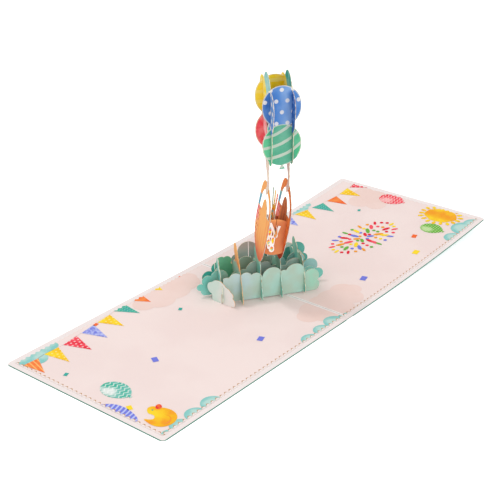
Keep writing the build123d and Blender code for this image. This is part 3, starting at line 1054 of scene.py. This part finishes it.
@dataclass(frozen=True)
class Cluster(Print):
    """Balloons one over the other, each an ellipse and its print, above striped strings."""

    balloons: tuple[tuple[Ellipse, Print], ...]
    margin: float = 1.04

    def paint(self, place: Place) -> Socket:
        """Paint the strings, then one balloon over the other.

        Args:
            place: the place that is painted.

        Returns:
            The colour.
        """
        graph, u, v = place
        strings = Stripes(Wash(Tint.CREAM, Tint.SHELL, 8, 30.0), Tint.SALMON, 2.6, 0.22, 82)
        colour = strings.paint(place)
        for shape, ink in self.balloons:
            colour = graph.mix(inside(u, v, shape) < self.margin, colour, ink.paint(place))
        return colour


@dataclass
class Balloons:
    """The balloons on two long sheets and two cross sheets."""

    lattice: Lattice
    station: float = 3.5
    spacing: float = 12.5
    middle: float = 142.0
    halves: Point = (14.4, 15.4)
    sway: float = 7.2
    front: Point = (12.5, -16.0)
    back: Point = (13.5, -12.5)
    slices: tuple[tuple[Point, Point], ...] = (
        ((-1.5, 19.5), (11.0, 15.4)),
        ((12.5, 13.5), (12.0, 15.4)),
        ((10.0, -15.0), (10.5, 17.0)),
        ((-9.0, -17.0), (8.5, 15.4)),
        ((-12.5, 8.5), (11.5, 15.4)),
    )

    @property
    def axis(self) -> float:
        """Give the place of the balloons' axis along the long sheets."""
        return sum(self.lattice.basket_stations) / 2 + self.sway

    def run(self, stops: Stops, *rest: object) -> Run:
        """Give inks that run into each other at places counted from the axis."""
        return Run(tuple((self.axis + place, ink) for place, ink in stops), *rest)

    def blue(self) -> Print:
        """Make the print of the dotted blue balloon.

        Returns:
            The print.
        """
        deep, blue, light = Tint.DEEP_BLUE, Tint.BLUE, Tint.LIGHT_BLUE
        # Partly painted shade: the deep blue towards the balloon's left stands for shade; the rest of the
        # ramp is the balloon's watercolour print.
        water = self.run(((-14, deep), (-4, blue), (5, light), (9, blue)), light, 0.4, 9, 24.0)
        pitch = 8.2
        return Dots(water, Tint.SHELL, pitch, 1.55, (self.axis - pitch, self.middle + self.front[0]), 0.9)

    def green(self) -> Print:
        """Make the print of the green balloon with bent stripes.

        Returns:
            The print.
        """
        green, deep = Tint.GREEN, Tint.DEEP_GREEN
        wash = self.run(((-12, green), (-4, deep), (8, deep), (14, green)), Tint.FRESH_MINT, 0.25, 9, 25.0)
        origin = (self.axis, self.middle + self.front[1])
        return Stripes(wash, Tint.PALE_GREEN, 8.4, 0.27, 22, bend=0.014, origin=origin)

    def yellow(self) -> Print:
        """Give the print of the striped yellow balloon."""
        wash = self.run(((-12, Tint.YELLOW), (2, Tint.SUNNY)), Tint.PALE_YELLOW, 0.4, 6, 26.0)
        return Stripes(wash, Tint.PALE_YELLOW, 7.5, 0.34, 0, strength=0.75)

    def dress_longs(self) -> None:
        """Dress the two long sheets."""
        red = Wash(Tint.SALMON, Tint.ROSE, 8, 27.0)
        for place, station, inks, lifts in (
            ("front", self.station - self.spacing, (self.blue(), self.green()), self.front),
            ("back", self.station + self.spacing, (self.yellow(), red), self.back),
        ):
            top, bottom = (self.middle + lift for lift in lifts)
            pair = Pair(*inks, top, bottom, self.axis, self.halves)
            dress_sheet(f"balloon_long_{place}", self.lattice.long_sheet(station), pair)

    def dress_crosses(self) -> None:
        """Dress the two cross sheets; the right one is deeper in colour."""
        yellow = Stripes(Wash(Tint.PALE_YELLOW, Tint.YELLOW, 8, 32.0), Tint.PALE_YELLOW, 7.5, 0.35)
        rose = Wash(Tint.PINK, Tint.ROSE, 9, 33.0)
        left_blue = Wash(Tint.LIGHT_BLUE, Tint.BLUE, 7, 35.0)
        right_blue = Wash(Tint.BLUE, Tint.DEEP_BLUE, 7, 38.0)
        left = (
            Wash(Tint.PALE_SKY, Tint.SKY, 9, 31.0),
            yellow,
            rose,
            Wash(Tint.MINT, Tint.GREEN, 9, 34.0),
            Dots(left_blue, Tint.SHELL, 6.2, 1.6),
        )
        right = (
            Wash(Tint.SKY, Tint.TEAL, 9, 36.0),
            yellow,
            rose,
            Wash(Tint.FRESH_MINT, Tint.DEEP_GREEN, 9, 37.0),
            Dots(right_blue, Tint.LIGHT_BLUE, 6.2, 1.2),
        )
        shapes = [
            (self.station + across, self.middle + up, *halves, 0.0) for (across, up), halves in self.slices
        ]
        for side, station, inks in zip(Side, self.lattice.basket_stations, (left, right)):
            cluster = Cluster(tuple(zip(shapes, inks)))
            dress_sheet(f"balloon_cross_{side.value}", self.lattice.cross_sheet(station), cluster)

    def dress(self) -> None:
        """Dress the four balloon sheets."""
        self.dress_longs()
        self.dress_crosses()


@dataclass(frozen=True)
class Scalloped(Print):
    """A print on a liner under the liner's scalloped edges and its pale edge at the fold.

    The near edge and the left panel's outer edge are burnt, as their cut faces the viewer.
    """

    ground: Print
    side: Side
    corners: tuple[Point, Point]
    pitch: float = 4.5
    depth: float = 0.75
    line: float = 1.15
    burn_width: float = 0.42
    fold_line: float = 0.9
    hidden_burn: float = 0.15
    least_burn: float = 0.2
    dip: Point = (-0.4, 0.5)

    def paint(self, place: Place) -> Socket:
        """Paint the print, the margin beyond the scallops, the fold's edge and the burnt line.

        Args:
            place: the place that is painted.

        Returns:
            The colour.
        """
        graph, u, v = place
        (left, near), (right, far) = self.corners
        on_left = self.side is Side.LEFT
        outer, fold = (left, right) if on_left else (right, left)
        burn: Value = 0.0
        margin: Value = 0.0
        for edge, across, along, strength in (
            (outer, u, v, 1.0 if on_left else self.hidden_burn),
            (near, v, u, 1.0),
            (far, v, u, self.hidden_burn),
        ):
            turn = graph.math("SINE", along * (2 * pi / self.pitch))
            beyond = abs(across - edge) - (turn * self.depth + self.line)
            scorch = (turn.rise(*self.dip) * (1 - self.least_burn) + self.least_burn) * strength
            burn = graph.math("MAXIMUM", burn, (abs(beyond) < self.burn_width) * scorch)
            margin = graph.math("MAXIMUM", margin, beyond < 0.0)
        colour = graph.mix(margin, self.ground.paint(place), Tint.LINING)
        colour = graph.mix(abs(u - fold) < self.fold_line, colour, Tint.WHITE)
        return graph.mix(burn, colour, Tint.BURNT)


@dataclass
class Card:
    """The folded cover and its two liners."""

    panel_width: float = 200.0
    curl: float = 9.1
    fold_width: float = 4.0
    rim: float = 0.55
    cut: Point = (0.3, 0.6)
    board: Paper = Paper(roughness=0.7)
    liner: Paper = Paper(roughness=0.75)

    def __post_init__(self) -> None:
        """Work out the sizes that follow from the frame."""
        self.radius = self.panel_width**2 / (2 * self.curl)
        self.top = liner_top()
        self.boxes = {side: self.corners(f"liner_{side.value}") for side in Side}

    def corners(self, node: str) -> tuple[Point, Point]:
        """Give the X and Y of a node's box, its low corner and its high one."""
        low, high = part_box(node)
        return (low.x / MM, low.y / MM), (high.x / MM, high.y / MM)

    def height(self, x: float) -> float:
        """Give the height of the printed surface at a distance from the fold."""
        radius = self.radius - self.top
        return self.top + (radius - sqrt(radius**2 - x**2) if x > 0 else 0.0)

    def liner_material(self, name: str, side: Side, ink: Print) -> bpy.types.Material:
        """Make the finish of a print on a liner.

        Args:
            name: name of the material.
            side: the liner's panel.
            ink: the print.

        Returns:
            The material.
        """
        graph = Graph(name)
        colour = Scalloped(ink, side, self.boxes[side]).paint(Place(graph, *graph.plan()))
        return graph.finish(colour, self.liner)

    def dress_cover(self) -> None:
        """Dress the cover: green wash outside, pale lining inside, white edge at the fold."""
        graph = Graph("cover_board")
        x, y = graph.plan()
        (left, front), _ = self.corners("cover")
        outside = Wash(Tint.SEA, Tint.MINT, 20, 40.0).paint(Place(graph, x, y))
        lining = Wash(Tint.LINING, Tint.LINING_DEEP, 30, 41.0).paint(Place(graph, x, y))
        # Partly painted shadow: the cut edge and a thin band along the lining's near and left edges are a
        # green darker than the board's print, for the thin edge and the shadow along it.
        edge = graph.mix(abs(x) < self.fold_width, Tint.EDGE_GREEN, Tint.WHITE)
        rim = graph.math("MAXIMUM", y < front + self.rim, x < left + self.rim)
        lining = graph.mix(rim, lining, Tint.EDGE_GREEN)
        edge = graph.mix(graph.facing((0, 0, -1)).rise(*self.cut), edge, outside)
        colour = graph.mix(graph.facing((0, 0, 1)).rise(*self.cut), edge, lining)
        dress("cover", graph.finish(colour, self.board))

    def dress(self) -> None:
        """Dress the cover and the liners."""
        self.dress_cover()
        for side in Side:
            wash = Wash(Tint.BLUSH, Tint.BLUSH_DEEP, 45, 42.0)
            name = f"liner_{side.value}"
            dress(name, self.liner_material(f"{name}_print", side, wash))


class Layer(Enum):
    """Height of a printed field above the liner, as a count of lifts."""

    GROUND = 1
    CLOUD = 2
    FIGURE = 3
    DETAIL = 4


@dataclass
class Prints:
    """Fields of ink on the two liners, each a thin layer that follows the paper."""

    card: Card
    lift: float = 0.06
    step: float = 0.008
    strip: float = 8.0
    inset: float = 0.2
    string_rise: float = 0.25
    string_drop: float = 0.1

    def clip(self, mesh: bmesh.types.BMesh, side: Side) -> None:
        """Stop the fields at the liner's edges and cut them into strips where it curls.

        Args:
            mesh: the fields.
            side: their panel.
        """
        (left, near), (right, far) = self.card.boxes[side]
        curled = side is Side.RIGHT
        cuts = [
            ((left + (0.0 if curled else self.inset), 0, 0), (-1, 0, 0), True),
            ((right - (self.inset if curled else 0.0), 0, 0), (1, 0, 0), True),
            ((0, near + self.inset, 0), (0, -1, 0), True),
            ((0, far - self.inset, 0), (0, 1, 0), True),
        ]
        if curled:
            count = int(right // self.strip)
            cuts += [((self.strip * (i + 1), 0, 0), (1, 0, 0), False) for i in range(count)]
        for point, normal, clear in cuts:
            geometry = mesh.verts[:] + mesh.edges[:] + mesh.faces[:]
            bmesh.ops.bisect_plane(mesh, geom=geometry, plane_co=point, plane_no=normal, clear_outer=clear)

    def field_mesh(self, outlines: Sequence[Outline], side: Side, lift: float) -> bpy.types.Mesh:
        """Build fields of ink that follow the paper, each a hair above the one before.

        Args:
            outlines: the outlines in millimetres.
            side: their panel.
            lift: height above the liner.

        Returns:
            The mesh.
        """
        mesh = bmesh.new()
        for number, outline in enumerate(outlines):
            height = number * self.step
            mesh.faces.new([mesh.verts.new((x, y, height)) for x, y in outline])
        bmesh.ops.triangulate(mesh, faces=mesh.faces[:], ngon_method="EAR_CLIP")
        self.clip(mesh, side)
        for vertex in mesh.verts:
            x, y, height = vertex.co
            vertex.co = Vector((x, y, self.card.height(x) + lift + height)) * MM
        mesh.normal_update()
        for face in mesh.faces:
            if face.normal.z < 0:
                face.normal_flip()
        made = bpy.data.meshes.new("field")
        mesh.to_mesh(made)
        mesh.free()
        return made

    def add(self, name: str, outlines: Sequence[Outline], ink: Print, layer: Layer = Layer.FIGURE) -> None:
        """Print fields in one ink.

        Args:
            name: name of the piece.
            outlines: the outlines in millimetres.
            ink: the print.
            layer: how high the layer lies.
        """
        side = Side.RIGHT if outlines[0][0][0] > 0 else Side.LEFT
        piece = bpy.data.objects.new(name, self.field_mesh(outlines, side, layer.value * self.lift))
        bpy.context.scene.collection.objects.link(piece)
        piece.data.materials.append(self.card.liner_material(f"{name}_ink", side, ink))
        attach(piece, "root")
        LOG.info("printed %s", name)

    @staticmethod
    def ellipse(shape: Ellipse, count: int) -> list[Point]:
        """Give an ellipse's outline as a number of points.

        Args:
            shape: the ellipse.
            count: how many points it gets.

        Returns:
            The outline.
        """
        x, y, rx, ry, turn = shape
        c, s = cos(radians(turn)), sin(radians(turn))
        points = [(rx * cos(2 * pi * i / count), ry * sin(2 * pi * i / count)) for i in range(count)]
        return [(x + u * c - v * s, y + u * s + v * c) for u, v in points]

    @staticmethod
    def disc(x: float, y: float, radius: float, count: int = 40) -> list[Point]:
        """Give a disc's outline."""
        return Prints.ellipse((x, y, radius, radius, 0.0), count)

    @staticmethod
    def balloon(x: float, y: float, rx: float, ry: float, count: int = 48) -> list[Point]:
        """Give a balloon's outline: round above, drawn in below.

        Args:
            x: place of its middle from the fold.
            y: place of its middle along the fold.
            rx: half its width.
            ry: half its height.
            count: how many points it gets.

        Returns:
            The outline.
        """
        draw, drop = 0.22, 1.12
        points = []
        for i in range(count):
            angle = 2 * pi * i / count
            narrow = 1 - draw * max(0.0, -sin(angle)) ** 2
            tall = 1 if sin(angle) > 0 else drop
            points.append((x + rx * cos(angle) * narrow, y + ry * sin(angle) * tall))
        return points

    @staticmethod
    def square(x: float, y: float, size: float, turn: float = 0) -> list[Point]:
        """Give a small turned rectangle's outline.

        Args:
            x: place of its middle from the fold.
            y: place of its middle along the fold.
            size: its longer side.
            turn: its turn in degrees.

        Returns:
            The outline.
        """
        half_diagonal = size * 0.62
        corners = [radians(turn + corner) for corner in (35, 145, 215, 325)]
        return [(x + half_diagonal * cos(angle), y + half_diagonal * sin(angle)) for angle in corners]

    @staticmethod
    def soften(points: Sequence[Point], rounds: int = 2) -> list[Point]:
        """Round an outline's corners by cutting them again and again.

        Args:
            points: the outline.
            rounds: how often they are cut.

        Returns:
            The rounded outline.
        """
        near, far = 0.75, 0.25
        softened = list(points)
        for _ in range(rounds):
            cut = []
            for (x, y), (p, q) in zip(softened, softened[1:] + softened[:1]):
                cut.append((near * x + far * p, near * y + far * q))
                cut.append((far * x + near * p, far * y + near * q))
            softened = cut
        return softened

    def flags(self) -> None:
        """Print the two rows of flags along the far edges and their strings."""
        rows = {
            Side.LEFT: (
                ((-194.0, 63.0), (-181.4, 62.3), (-191.4, 44.1), "orange_striped"),
                ((-175.2, 63.1), (-162.3, 62.5), (-171.1, 41.4), "yellow_dotted"),
                ((-158.0, 62.3), (-143.3, 64.2), (-150.0, 41.4), "red_dotted"),
                ((-138.3, 64.5), (-124.3, 66.2), (-131.1, 44.7), "violet"),
                ((-120.2, 66.7), (-106.3, 68.1), (-111.8, 47.4), "yellow_dotted"),
                ((-100.6, 69.7), (-87.8, 72.6), (-90.6, 52.1), "teal"),
                ((-81.9, 73.1), (-68.4, 73.6), (-72.8, 57.7), "orange"),
                ((-62.0, 76.0), (-48.0, 77.0), (-53.3, 63.9), "yellow_dotted"),
            ),
            Side.RIGHT: (
                ((62.0, 77.0), (76.0, 74.5), (66.6, 62.0), "yellow_dotted"),
                ((80.0, 74.0), (93.0, 70.5), (84.0, 55.0), "orange"),
                ((98.0, 69.5), (111.8, 66.0), (101.8, 50.6), "violet"),
                ((117.3, 66.3), (130.8, 62.7), (119.7, 44.8), "yellow_dotted"),
                ((136.0, 61.8), (148.9, 59.0), (140.6, 40.9), "teal"),
                ((153.8, 58.6), (166.2, 57.1), (157.9, 39.1), "orange"),
                ((170.8, 57.0), (184.5, 57.9), (177.7, 38.6), "yellow_dotted"),
                ((186.9, 57.0), (201.0, 58.5), (194.9, 42.2), "red_dotted"),
            ),
        }
        inks: dict[str, Print] = {
            "orange_striped": Stripes(Wash(Tint.ORANGE, Tint.DEEP_ORANGE), Tint.APRICOT, 3.2, 0.3, 75),
            "orange": Wash(Tint.ORANGE, Tint.DEEP_ORANGE, 8),
            "yellow_dotted": Dots(Wash(Tint.YELLOW, Tint.GOLD, 12), Tint.PALE_YELLOW, 3.6, 0.75),
            "red_dotted": Dots(Wash(Tint.RED, Tint.ROSE, 8), Tint.PINK, 3.4, 0.8),
            "violet": Wash(Tint.VIOLET, Tint.PALE_VIOLET, 2.4),
            "teal": Stripes(Wash(Tint.TEAL, Tint.JADE, 6), Tint.PALE_MINT, 2.6, 0.25, 0, 0.8, 3.0, 0.3),
        }
        for side, row in rows.items():
            for ink_name, ink in inks.items():
                chosen = [flag[:3] for flag in row if flag[3] == ink_name]
                if chosen:
                    self.add(f"flags_{side.value}_{ink_name}", chosen, ink)
            corners = [corner for flag in row for corner in flag[:2]]
            rise, drop = self.string_rise, self.string_drop
            string = [
                [(a, b + rise), (c, d + rise), (c, d - drop), (a, b - drop)]
                for (a, b), (c, d) in zip(corners, corners[1:])
            ]
            self.add(f"string_{side.value}", string, Wash(Tint.THREAD, Tint.BLUSH_DEEP), Layer.CLOUD)

    def clouds(self) -> None:
        """Print the peach and turquoise clouds."""
        peach = {
            "peach_far_left": ((-79, 59, 9), (-66, 56, 13), (-49, 60, 16), (-34, 61, 14), (-25, 63, 7)),
            "peach_fold_left": ((-17, -50, 9), (-6, -50, 14), (-8, -58, 10), (-1, -60, 9)),
            "peach_fold_right": ((6, -50, 15), (18, -49, 14), (32, -46, 10), (38, -51, 7), (27, -57, 10),
                                 (10, -61, 10)),
            "peach_far_right": ((170, 33, 11), (181, 28, 13), (172, 18, 9), (185, 40, 9), (186, 15, 9)),
        }
        sky = {
            "sky_far_left": ((-190, 67, 6.5), (-182, 63, 8), (-170, 68.5, 7.5), (-164, 68, 5)),
            "sky_near_left": ((-192, -73, 5.5), (-180.5, -71.5, 7.3), (-165, -71, 7.8), (-148.5, -71, 8.5)),
            "sky_fold_left": ((-43, -72.5, 8), (-27, -71, 7.8), (-12, -70, 8.5), (-1, -72.5, 6)),
            "sky_fold_right": ((2.5, -71.5, 3.5),),
            "sky_far_right": ((122, 68, 5.5), (131, 69, 6), (138, 69, 4)),
            "sky_near_right": ((156, -69, 7.3), (174, -68, 10), (185, -71, 8)),
        }
        for name, discs in peach.items():
            ink = Wash(Tint.PEACH, Tint.PEACH_DEEP, 30, 50.0)
            self.add(name, [self.disc(*disc) for disc in discs], ink, Layer.GROUND)
        for name, discs in sky.items():
            plain = "far" in name
            wash = Wash(Tint.SKY, Tint.PALE_SKY, 12, 51.0)
            ink = wash if plain else Lobes(Tint.PALE_SKY, Tint.SKY, discs)
            self.add(name, [self.disc(*disc) for disc in discs], ink, Layer.CLOUD)

    def balloons(self) -> None:
        """Print the flat balloons."""
        zigzag = Stripes(Wash(Tint.JADE, Tint.SEA, 7, 52.0), Tint.PALE_MINT, 3.4, 0.3, 0, 0.8, 4.4)
        mint = Glow(zigzag, Tint.WHITE, (-180.5, -7.5, 6.5, 9.0, 0.0), 0.8)
        waves = Stripes(Wash(Tint.RED, Tint.ROSE, 7, 54.0), Tint.PINK, 3.0, 0.3, 0, 0.8, 4.0)
        red = Glow(waves, Tint.PINK, (183.0, 14.5, 6.5, 8.5, 0.0), 0.85)
        green = Dots(Wash(Tint.LEAF, Tint.LEAF, 6, 55.0), Tint.PALE_LEAF, 2.4, 0.55)
        leaf = Glow(green, Tint.PALE_LEAF, (156.5, -43.0, 6.0, 8.0, 0.0), 0.85)
        for name, x, y, rx, ry, ink in (
            ("balloon_mint", -176.6, -9.5, 9.0, 11.7, mint),
            ("balloon_red", 186.9, 12.3, 8.7, 11.0, red),
            ("balloon_leaf", 159.8, -45.8, 8.0, 9.5, leaf),
        ):
            knot_y = y - ry * 1.1
            knot = [(x - 1.4, knot_y - 1.8), (x + 1.4, knot_y - 1.8), (x, knot_y + 1.2)]
            self.add(name, [self.balloon(x, y, rx, ry), knot], ink)
        violet = Stripes(Wash(Tint.VIOLET, Tint.VIOLET, 6, 53.0), Tint.PALE_VIOLET, 3.2, 0.4, 8, bend=0.02,
                         origin=(-194, -30))
        outline = ((-197, -13), (-192.5, -16.5), (-188.6, -22), (-187.6, -30), (-188.8, -38), (-192.4, -47),
                   (-197, -46))
        self.add("balloon_violet", [self.soften(outline)], violet)

    def duck(self) -> None:
        """Print the toy duck: body, bill, wing and eye."""
        outline = (
            (-181.9, -43.4), (-178.9, -41.2), (-175.6, -42.0), (-173.8, -46.4), (-171.4, -51.5),
            (-170.9, -56.8), (-173.2, -62.6), (-178.3, -66.2), (-184.2, -66.6), (-189.4, -63.6),
            (-191.6, -58.6), (-191.4, -53.4), (-189.9, -47.4), (-187.9, -52.0), (-185.6, -53.4),
            (-183.4, -52.2), (-182.6, -49.5), (-183.6, -46.6),
        )
        body = Glow(Wash(Tint.AMBER, Tint.GOLD, 9, 56.0), Tint.YELLOW, (-182.0, -49.0, 9.0, 12.0, 0.0))
        self.add("duck_body", [self.soften(outline)], body)
        bill = [self.ellipse((-173.6, -46.1, 3.0, 2.1, 40.0), 16)]
        self.add("duck_bill", bill, Wash(Tint.RED, Tint.DEEP_ORANGE, 3), Layer.DETAIL)
        wing = [(-177.9, -54.5), (-176.4, -58.6), (-178.4, -62.6), (-183.0, -64.2), (-187.2, -61.9),
                (-183.2, -63.2), (-179.0, -61.9), (-177.2, -58.6)]
        self.add("duck_wing", [self.soften(wing)], Wash(Tint.ORANGE, Tint.AMBER, 6, 57.0), Layer.DETAIL)
        eye = [self.disc(-178.9, -45.6, 0.7, 12)]
        self.add("duck_eye", eye, Wash(Tint.PINE, Tint.EDGE_GREEN), Layer.DETAIL)

    def sun(self) -> None:
        """Print the sun, a little wobbly, and its rays."""
        x, y, rx, ry = 183.6, -40.6, 11.2, 14.4
        gap, points, count = 3.0, 60, 18
        reach_x, reach_y = rx + gap, ry + gap
        body = []
        for i in range(points):
            angle = 2 * pi * i / points
            wobble = 1 + 0.025 * sin(7 * angle) + 0.02 * sin(4 * angle + 1)
            body.append((x + rx * wobble * cos(angle), y + ry * wobble * sin(angle)))
        stops = ((x - 9, Tint.YELLOW), (x - 2, Tint.AMBER), (x + 5, Tint.AMBER), (x + 10, Tint.YELLOW))
        self.add("sun_disc", [body], Run(stops, Tint.GOLD, 0.5, 5, 58.0))
        rays = []
        for i in range(count):
            angle = 2 * pi * (i + 0.3) / count
            reach = 1 + 0.03 * sin(i * 2.4)
            place = (x + reach_x * reach * cos(angle), y + reach_y * reach * sin(angle))
            rays.append(self.ellipse((*place, 2.5, 1.5, degrees(angle)), 14))
        self.add("sun_rays", rays, Wash(Tint.GOLD, Tint.YELLOW, 4))

    def confetti(self) -> None:
        """Print the scattered squares."""
        for name, ink, pieces in (
            ("confetti_teal_left", Tint.TEAL, ((-183.8, 31.1, 3.8, 20), (-67.4, 32.5, 3.8, 30))),
            ("confetti_orange_left", Tint.DEEP_ORANGE, ((-123.2, 65.4, 4.0, 10), (-29.0, 70.0, 3.0, 0))),
            ("confetti_violet_left", Tint.VIOLET, ((-132.2, -3.2, 6.0, 60), (-64.6, -42.9, 6.0, 20))),
            ("confetti_yellow_left", Tint.YELLOW, ((-186.2, -32.0, 5.0, 60),)),
            ("confetti_teal_right", Tint.TEAL, ((154.5, 24.1, 3.4, 20),)),
            ("confetti_orange_right", Tint.DEEP_ORANGE, ((140.3, -41.6, 5.4, 15), (33.1, 56.2, 4.0, 10))),
            ("confetti_yellow_right", Tint.YELLOW, ((117.6, -57.6, 6.6, 10),)),
            ("confetti_blue_right", Tint.VIOLET, ((57.1, -48.0, 6.6, 15),)),
        ):
            self.add(name, [self.square(*piece) for piece in pieces], Wash(ink, ink))

    def burst(self) -> None:
        """Print the burst of streamers and dots in the middle of the right panel."""
        x, y, rx, ry, slope, dot = 115.0, -8.0, 33.0, 17.0, -0.12, 1.5
        rings = ((0.22, 8, 3.2, 1.5), (0.48, 13, 4.4, 1.7), (0.74, 19, 4.0, 1.6), (1.0, 25, 3.0, 1.2))
        inks = (Tint.RED, Tint.AMBER, Tint.LEAF, Tint.VIOLET, Tint.ROSE, Tint.YELLOW)
        fields: dict[Tint, list[Outline]] = {ink: [] for ink in inks}
        for ring, (reach, count, long, wide) in enumerate(rings):
            for i in range(count):
                angle = 2 * pi * (i + 0.5 * ring) / count
                across = rx * reach * cos(angle)
                place = (x + across, y + ry * reach * sin(angle) + slope * across)
                streamer = self.ellipse((*place, long, wide, degrees(angle)), 16)
                ink = inks[(i // 2 + ring * 2) % len(inks)]
                fields[ink].append(streamer if i % 2 else self.disc(*place, dot, 14))
        for ink, outlines in fields.items():
            self.add(f"burst_{ink.name.lower()}", outlines, Wash(ink, ink))

    def build(self) -> None:
        """Print everything."""
        self.clouds()
        self.flags()
        self.balloons()
        self.duck()
        self.sun()
        self.confetti()
        self.burst()


@dataclass(frozen=True)
class Lamp:
    """A soft square lamp, in metres and watts."""

    name: str
    place: tuple[float, float, float]
    aim: tuple[float, float, float]
    size: float
    power: float

    def hang(self) -> None:
        """Put the lamp at its place and turn it to its aim."""
        lamp = bpy.data.lights.new(self.name, "AREA")
        lamp.size = self.size
        lamp.energy = self.power
        holder = bpy.data.objects.new(self.name, lamp)
        holder.location = self.place
        beam = Vector(self.aim) - Vector(self.place)
        holder.rotation_euler = beam.to_track_quat("-Z", "Y").to_euler()
        bpy.context.scene.collection.objects.link(holder)


@dataclass
class Studio:
    """The pale floor, the soft light and the camera at the photograph's angle."""

    azimuth: float = -50.02
    elevation: float = 25.77
    roll: float = -1.0
    distance: float = 969.6
    target: Point = (43.3, 56.1)
    lens: float = 84.4
    sensor: float = 36.0
    clip_start: float = 0.01
    floor_reach: float = 6.0
    floor_tone: float = 0.9
    floor_roughness: float = 0.9
    floor_glow: float = 0.58
    sky: float = 1.0
    sky_light: float = 0.74
    lamps: tuple[Lamp, ...] = (
        Lamp("key", (-0.15, 0.8, 1.4), (0.0, 0.0, 0.03), 0.26, 5.2),
        Lamp("fill", (-0.7, -1.2, 0.6), (0.0, 0.0, 0.1), 1.0, 8.0),
    )

    def build_floor(self) -> None:
        """Lay the white floor, which keeps the card's shadow."""
        mesh = bpy.data.meshes.new("floor")
        reach = self.floor_reach
        corners = [(-reach, -reach, 0), (reach, -reach, 0), (reach, reach, 0), (-reach, reach, 0)]
        mesh.from_pydata(corners, [], [(0, 1, 2, 3)])
        floor = bpy.data.objects.new("floor", mesh)
        bpy.context.scene.collection.objects.link(floor)
        graph = Graph("floor_white")
        graph.feed(graph.shader.inputs["Base Color"], (*[self.floor_tone] * 3, 1))
        graph.shader.inputs["Roughness"].default_value = self.floor_roughness
        ray = graph.node("ShaderNodeLightPath").outputs["Is Camera Ray"]
        graph.feed(graph.shader.inputs["Emission Color"], (1, 1, 1, 1))
        graph.feed(graph.shader.inputs["Emission Strength"], graph.math("MULTIPLY", ray, self.floor_glow))
        mesh.materials.append(graph.material)

    def build_light(self) -> None:
        """Light the card with a pale world and a large soft lamp from the far left."""
        world = bpy.data.worlds.new("studio")
        bpy.context.scene.world = world
        world.use_nodes = True
        tree = world.node_tree
        background = tree.nodes["Background"]
        path = tree.nodes.new("ShaderNodeLightPath")
        strength = tree.nodes.new("ShaderNodeMapRange")
        tree.links.new(path.outputs["Is Camera Ray"], strength.inputs["Value"])
        strength.inputs["To Min"].default_value = self.sky_light
        strength.inputs["To Max"].default_value = self.sky
        tree.links.new(strength.outputs["Result"], background.inputs["Strength"])
        background.inputs["Color"].default_value = (1, 1, 1, 1)
        for lamp in self.lamps:
            lamp.hang()

    def build_camera(self) -> None:
        """Set the camera at the photograph's angle."""
        azimuth, elevation, roll = radians(self.azimuth), radians(self.elevation), radians(self.roll)
        back = Vector((sin(azimuth) * cos(elevation), -cos(azimuth) * cos(elevation), sin(elevation)))
        level = (-back).cross(Vector((0, 0, 1))).normalized()
        upright = level.cross(-back)
        right = level * cos(roll) + upright * sin(roll)
        up = upright * cos(roll) - level * sin(roll)
        target = Vector((*self.target, liner_top())) * MM
        camera = bpy.data.cameras.new("camera")
        camera.lens = self.lens
        camera.sensor_width = self.sensor
        camera.clip_start = self.clip_start
        holder = bpy.data.objects.new("camera", camera)
        turn = Matrix((right, up, back)).transposed().to_4x4()
        holder.matrix_world = Matrix.Translation(target + back * self.distance * MM) @ turn
        bpy.context.scene.collection.objects.link(holder)
        bpy.context.scene.camera = holder

    def build(self) -> None:
        """Build the floor, the light and the camera."""
        self.build_floor()
        self.build_light()
        self.build_camera()
        bpy.context.scene.view_settings.view_transform = "Standard"


def main() -> None:
    """Dress the card, print its liners and set up the studio."""
    logging.basicConfig(level=logging.INFO)
    card = Card()
    card.dress()
    Prints(card).build()
    lattice = Lattice()
    lattice.dress()
    Basket(lattice).dress()
    Balloons(lattice).dress()
    Studio().build()


if __name__ == "__main__":
    main()
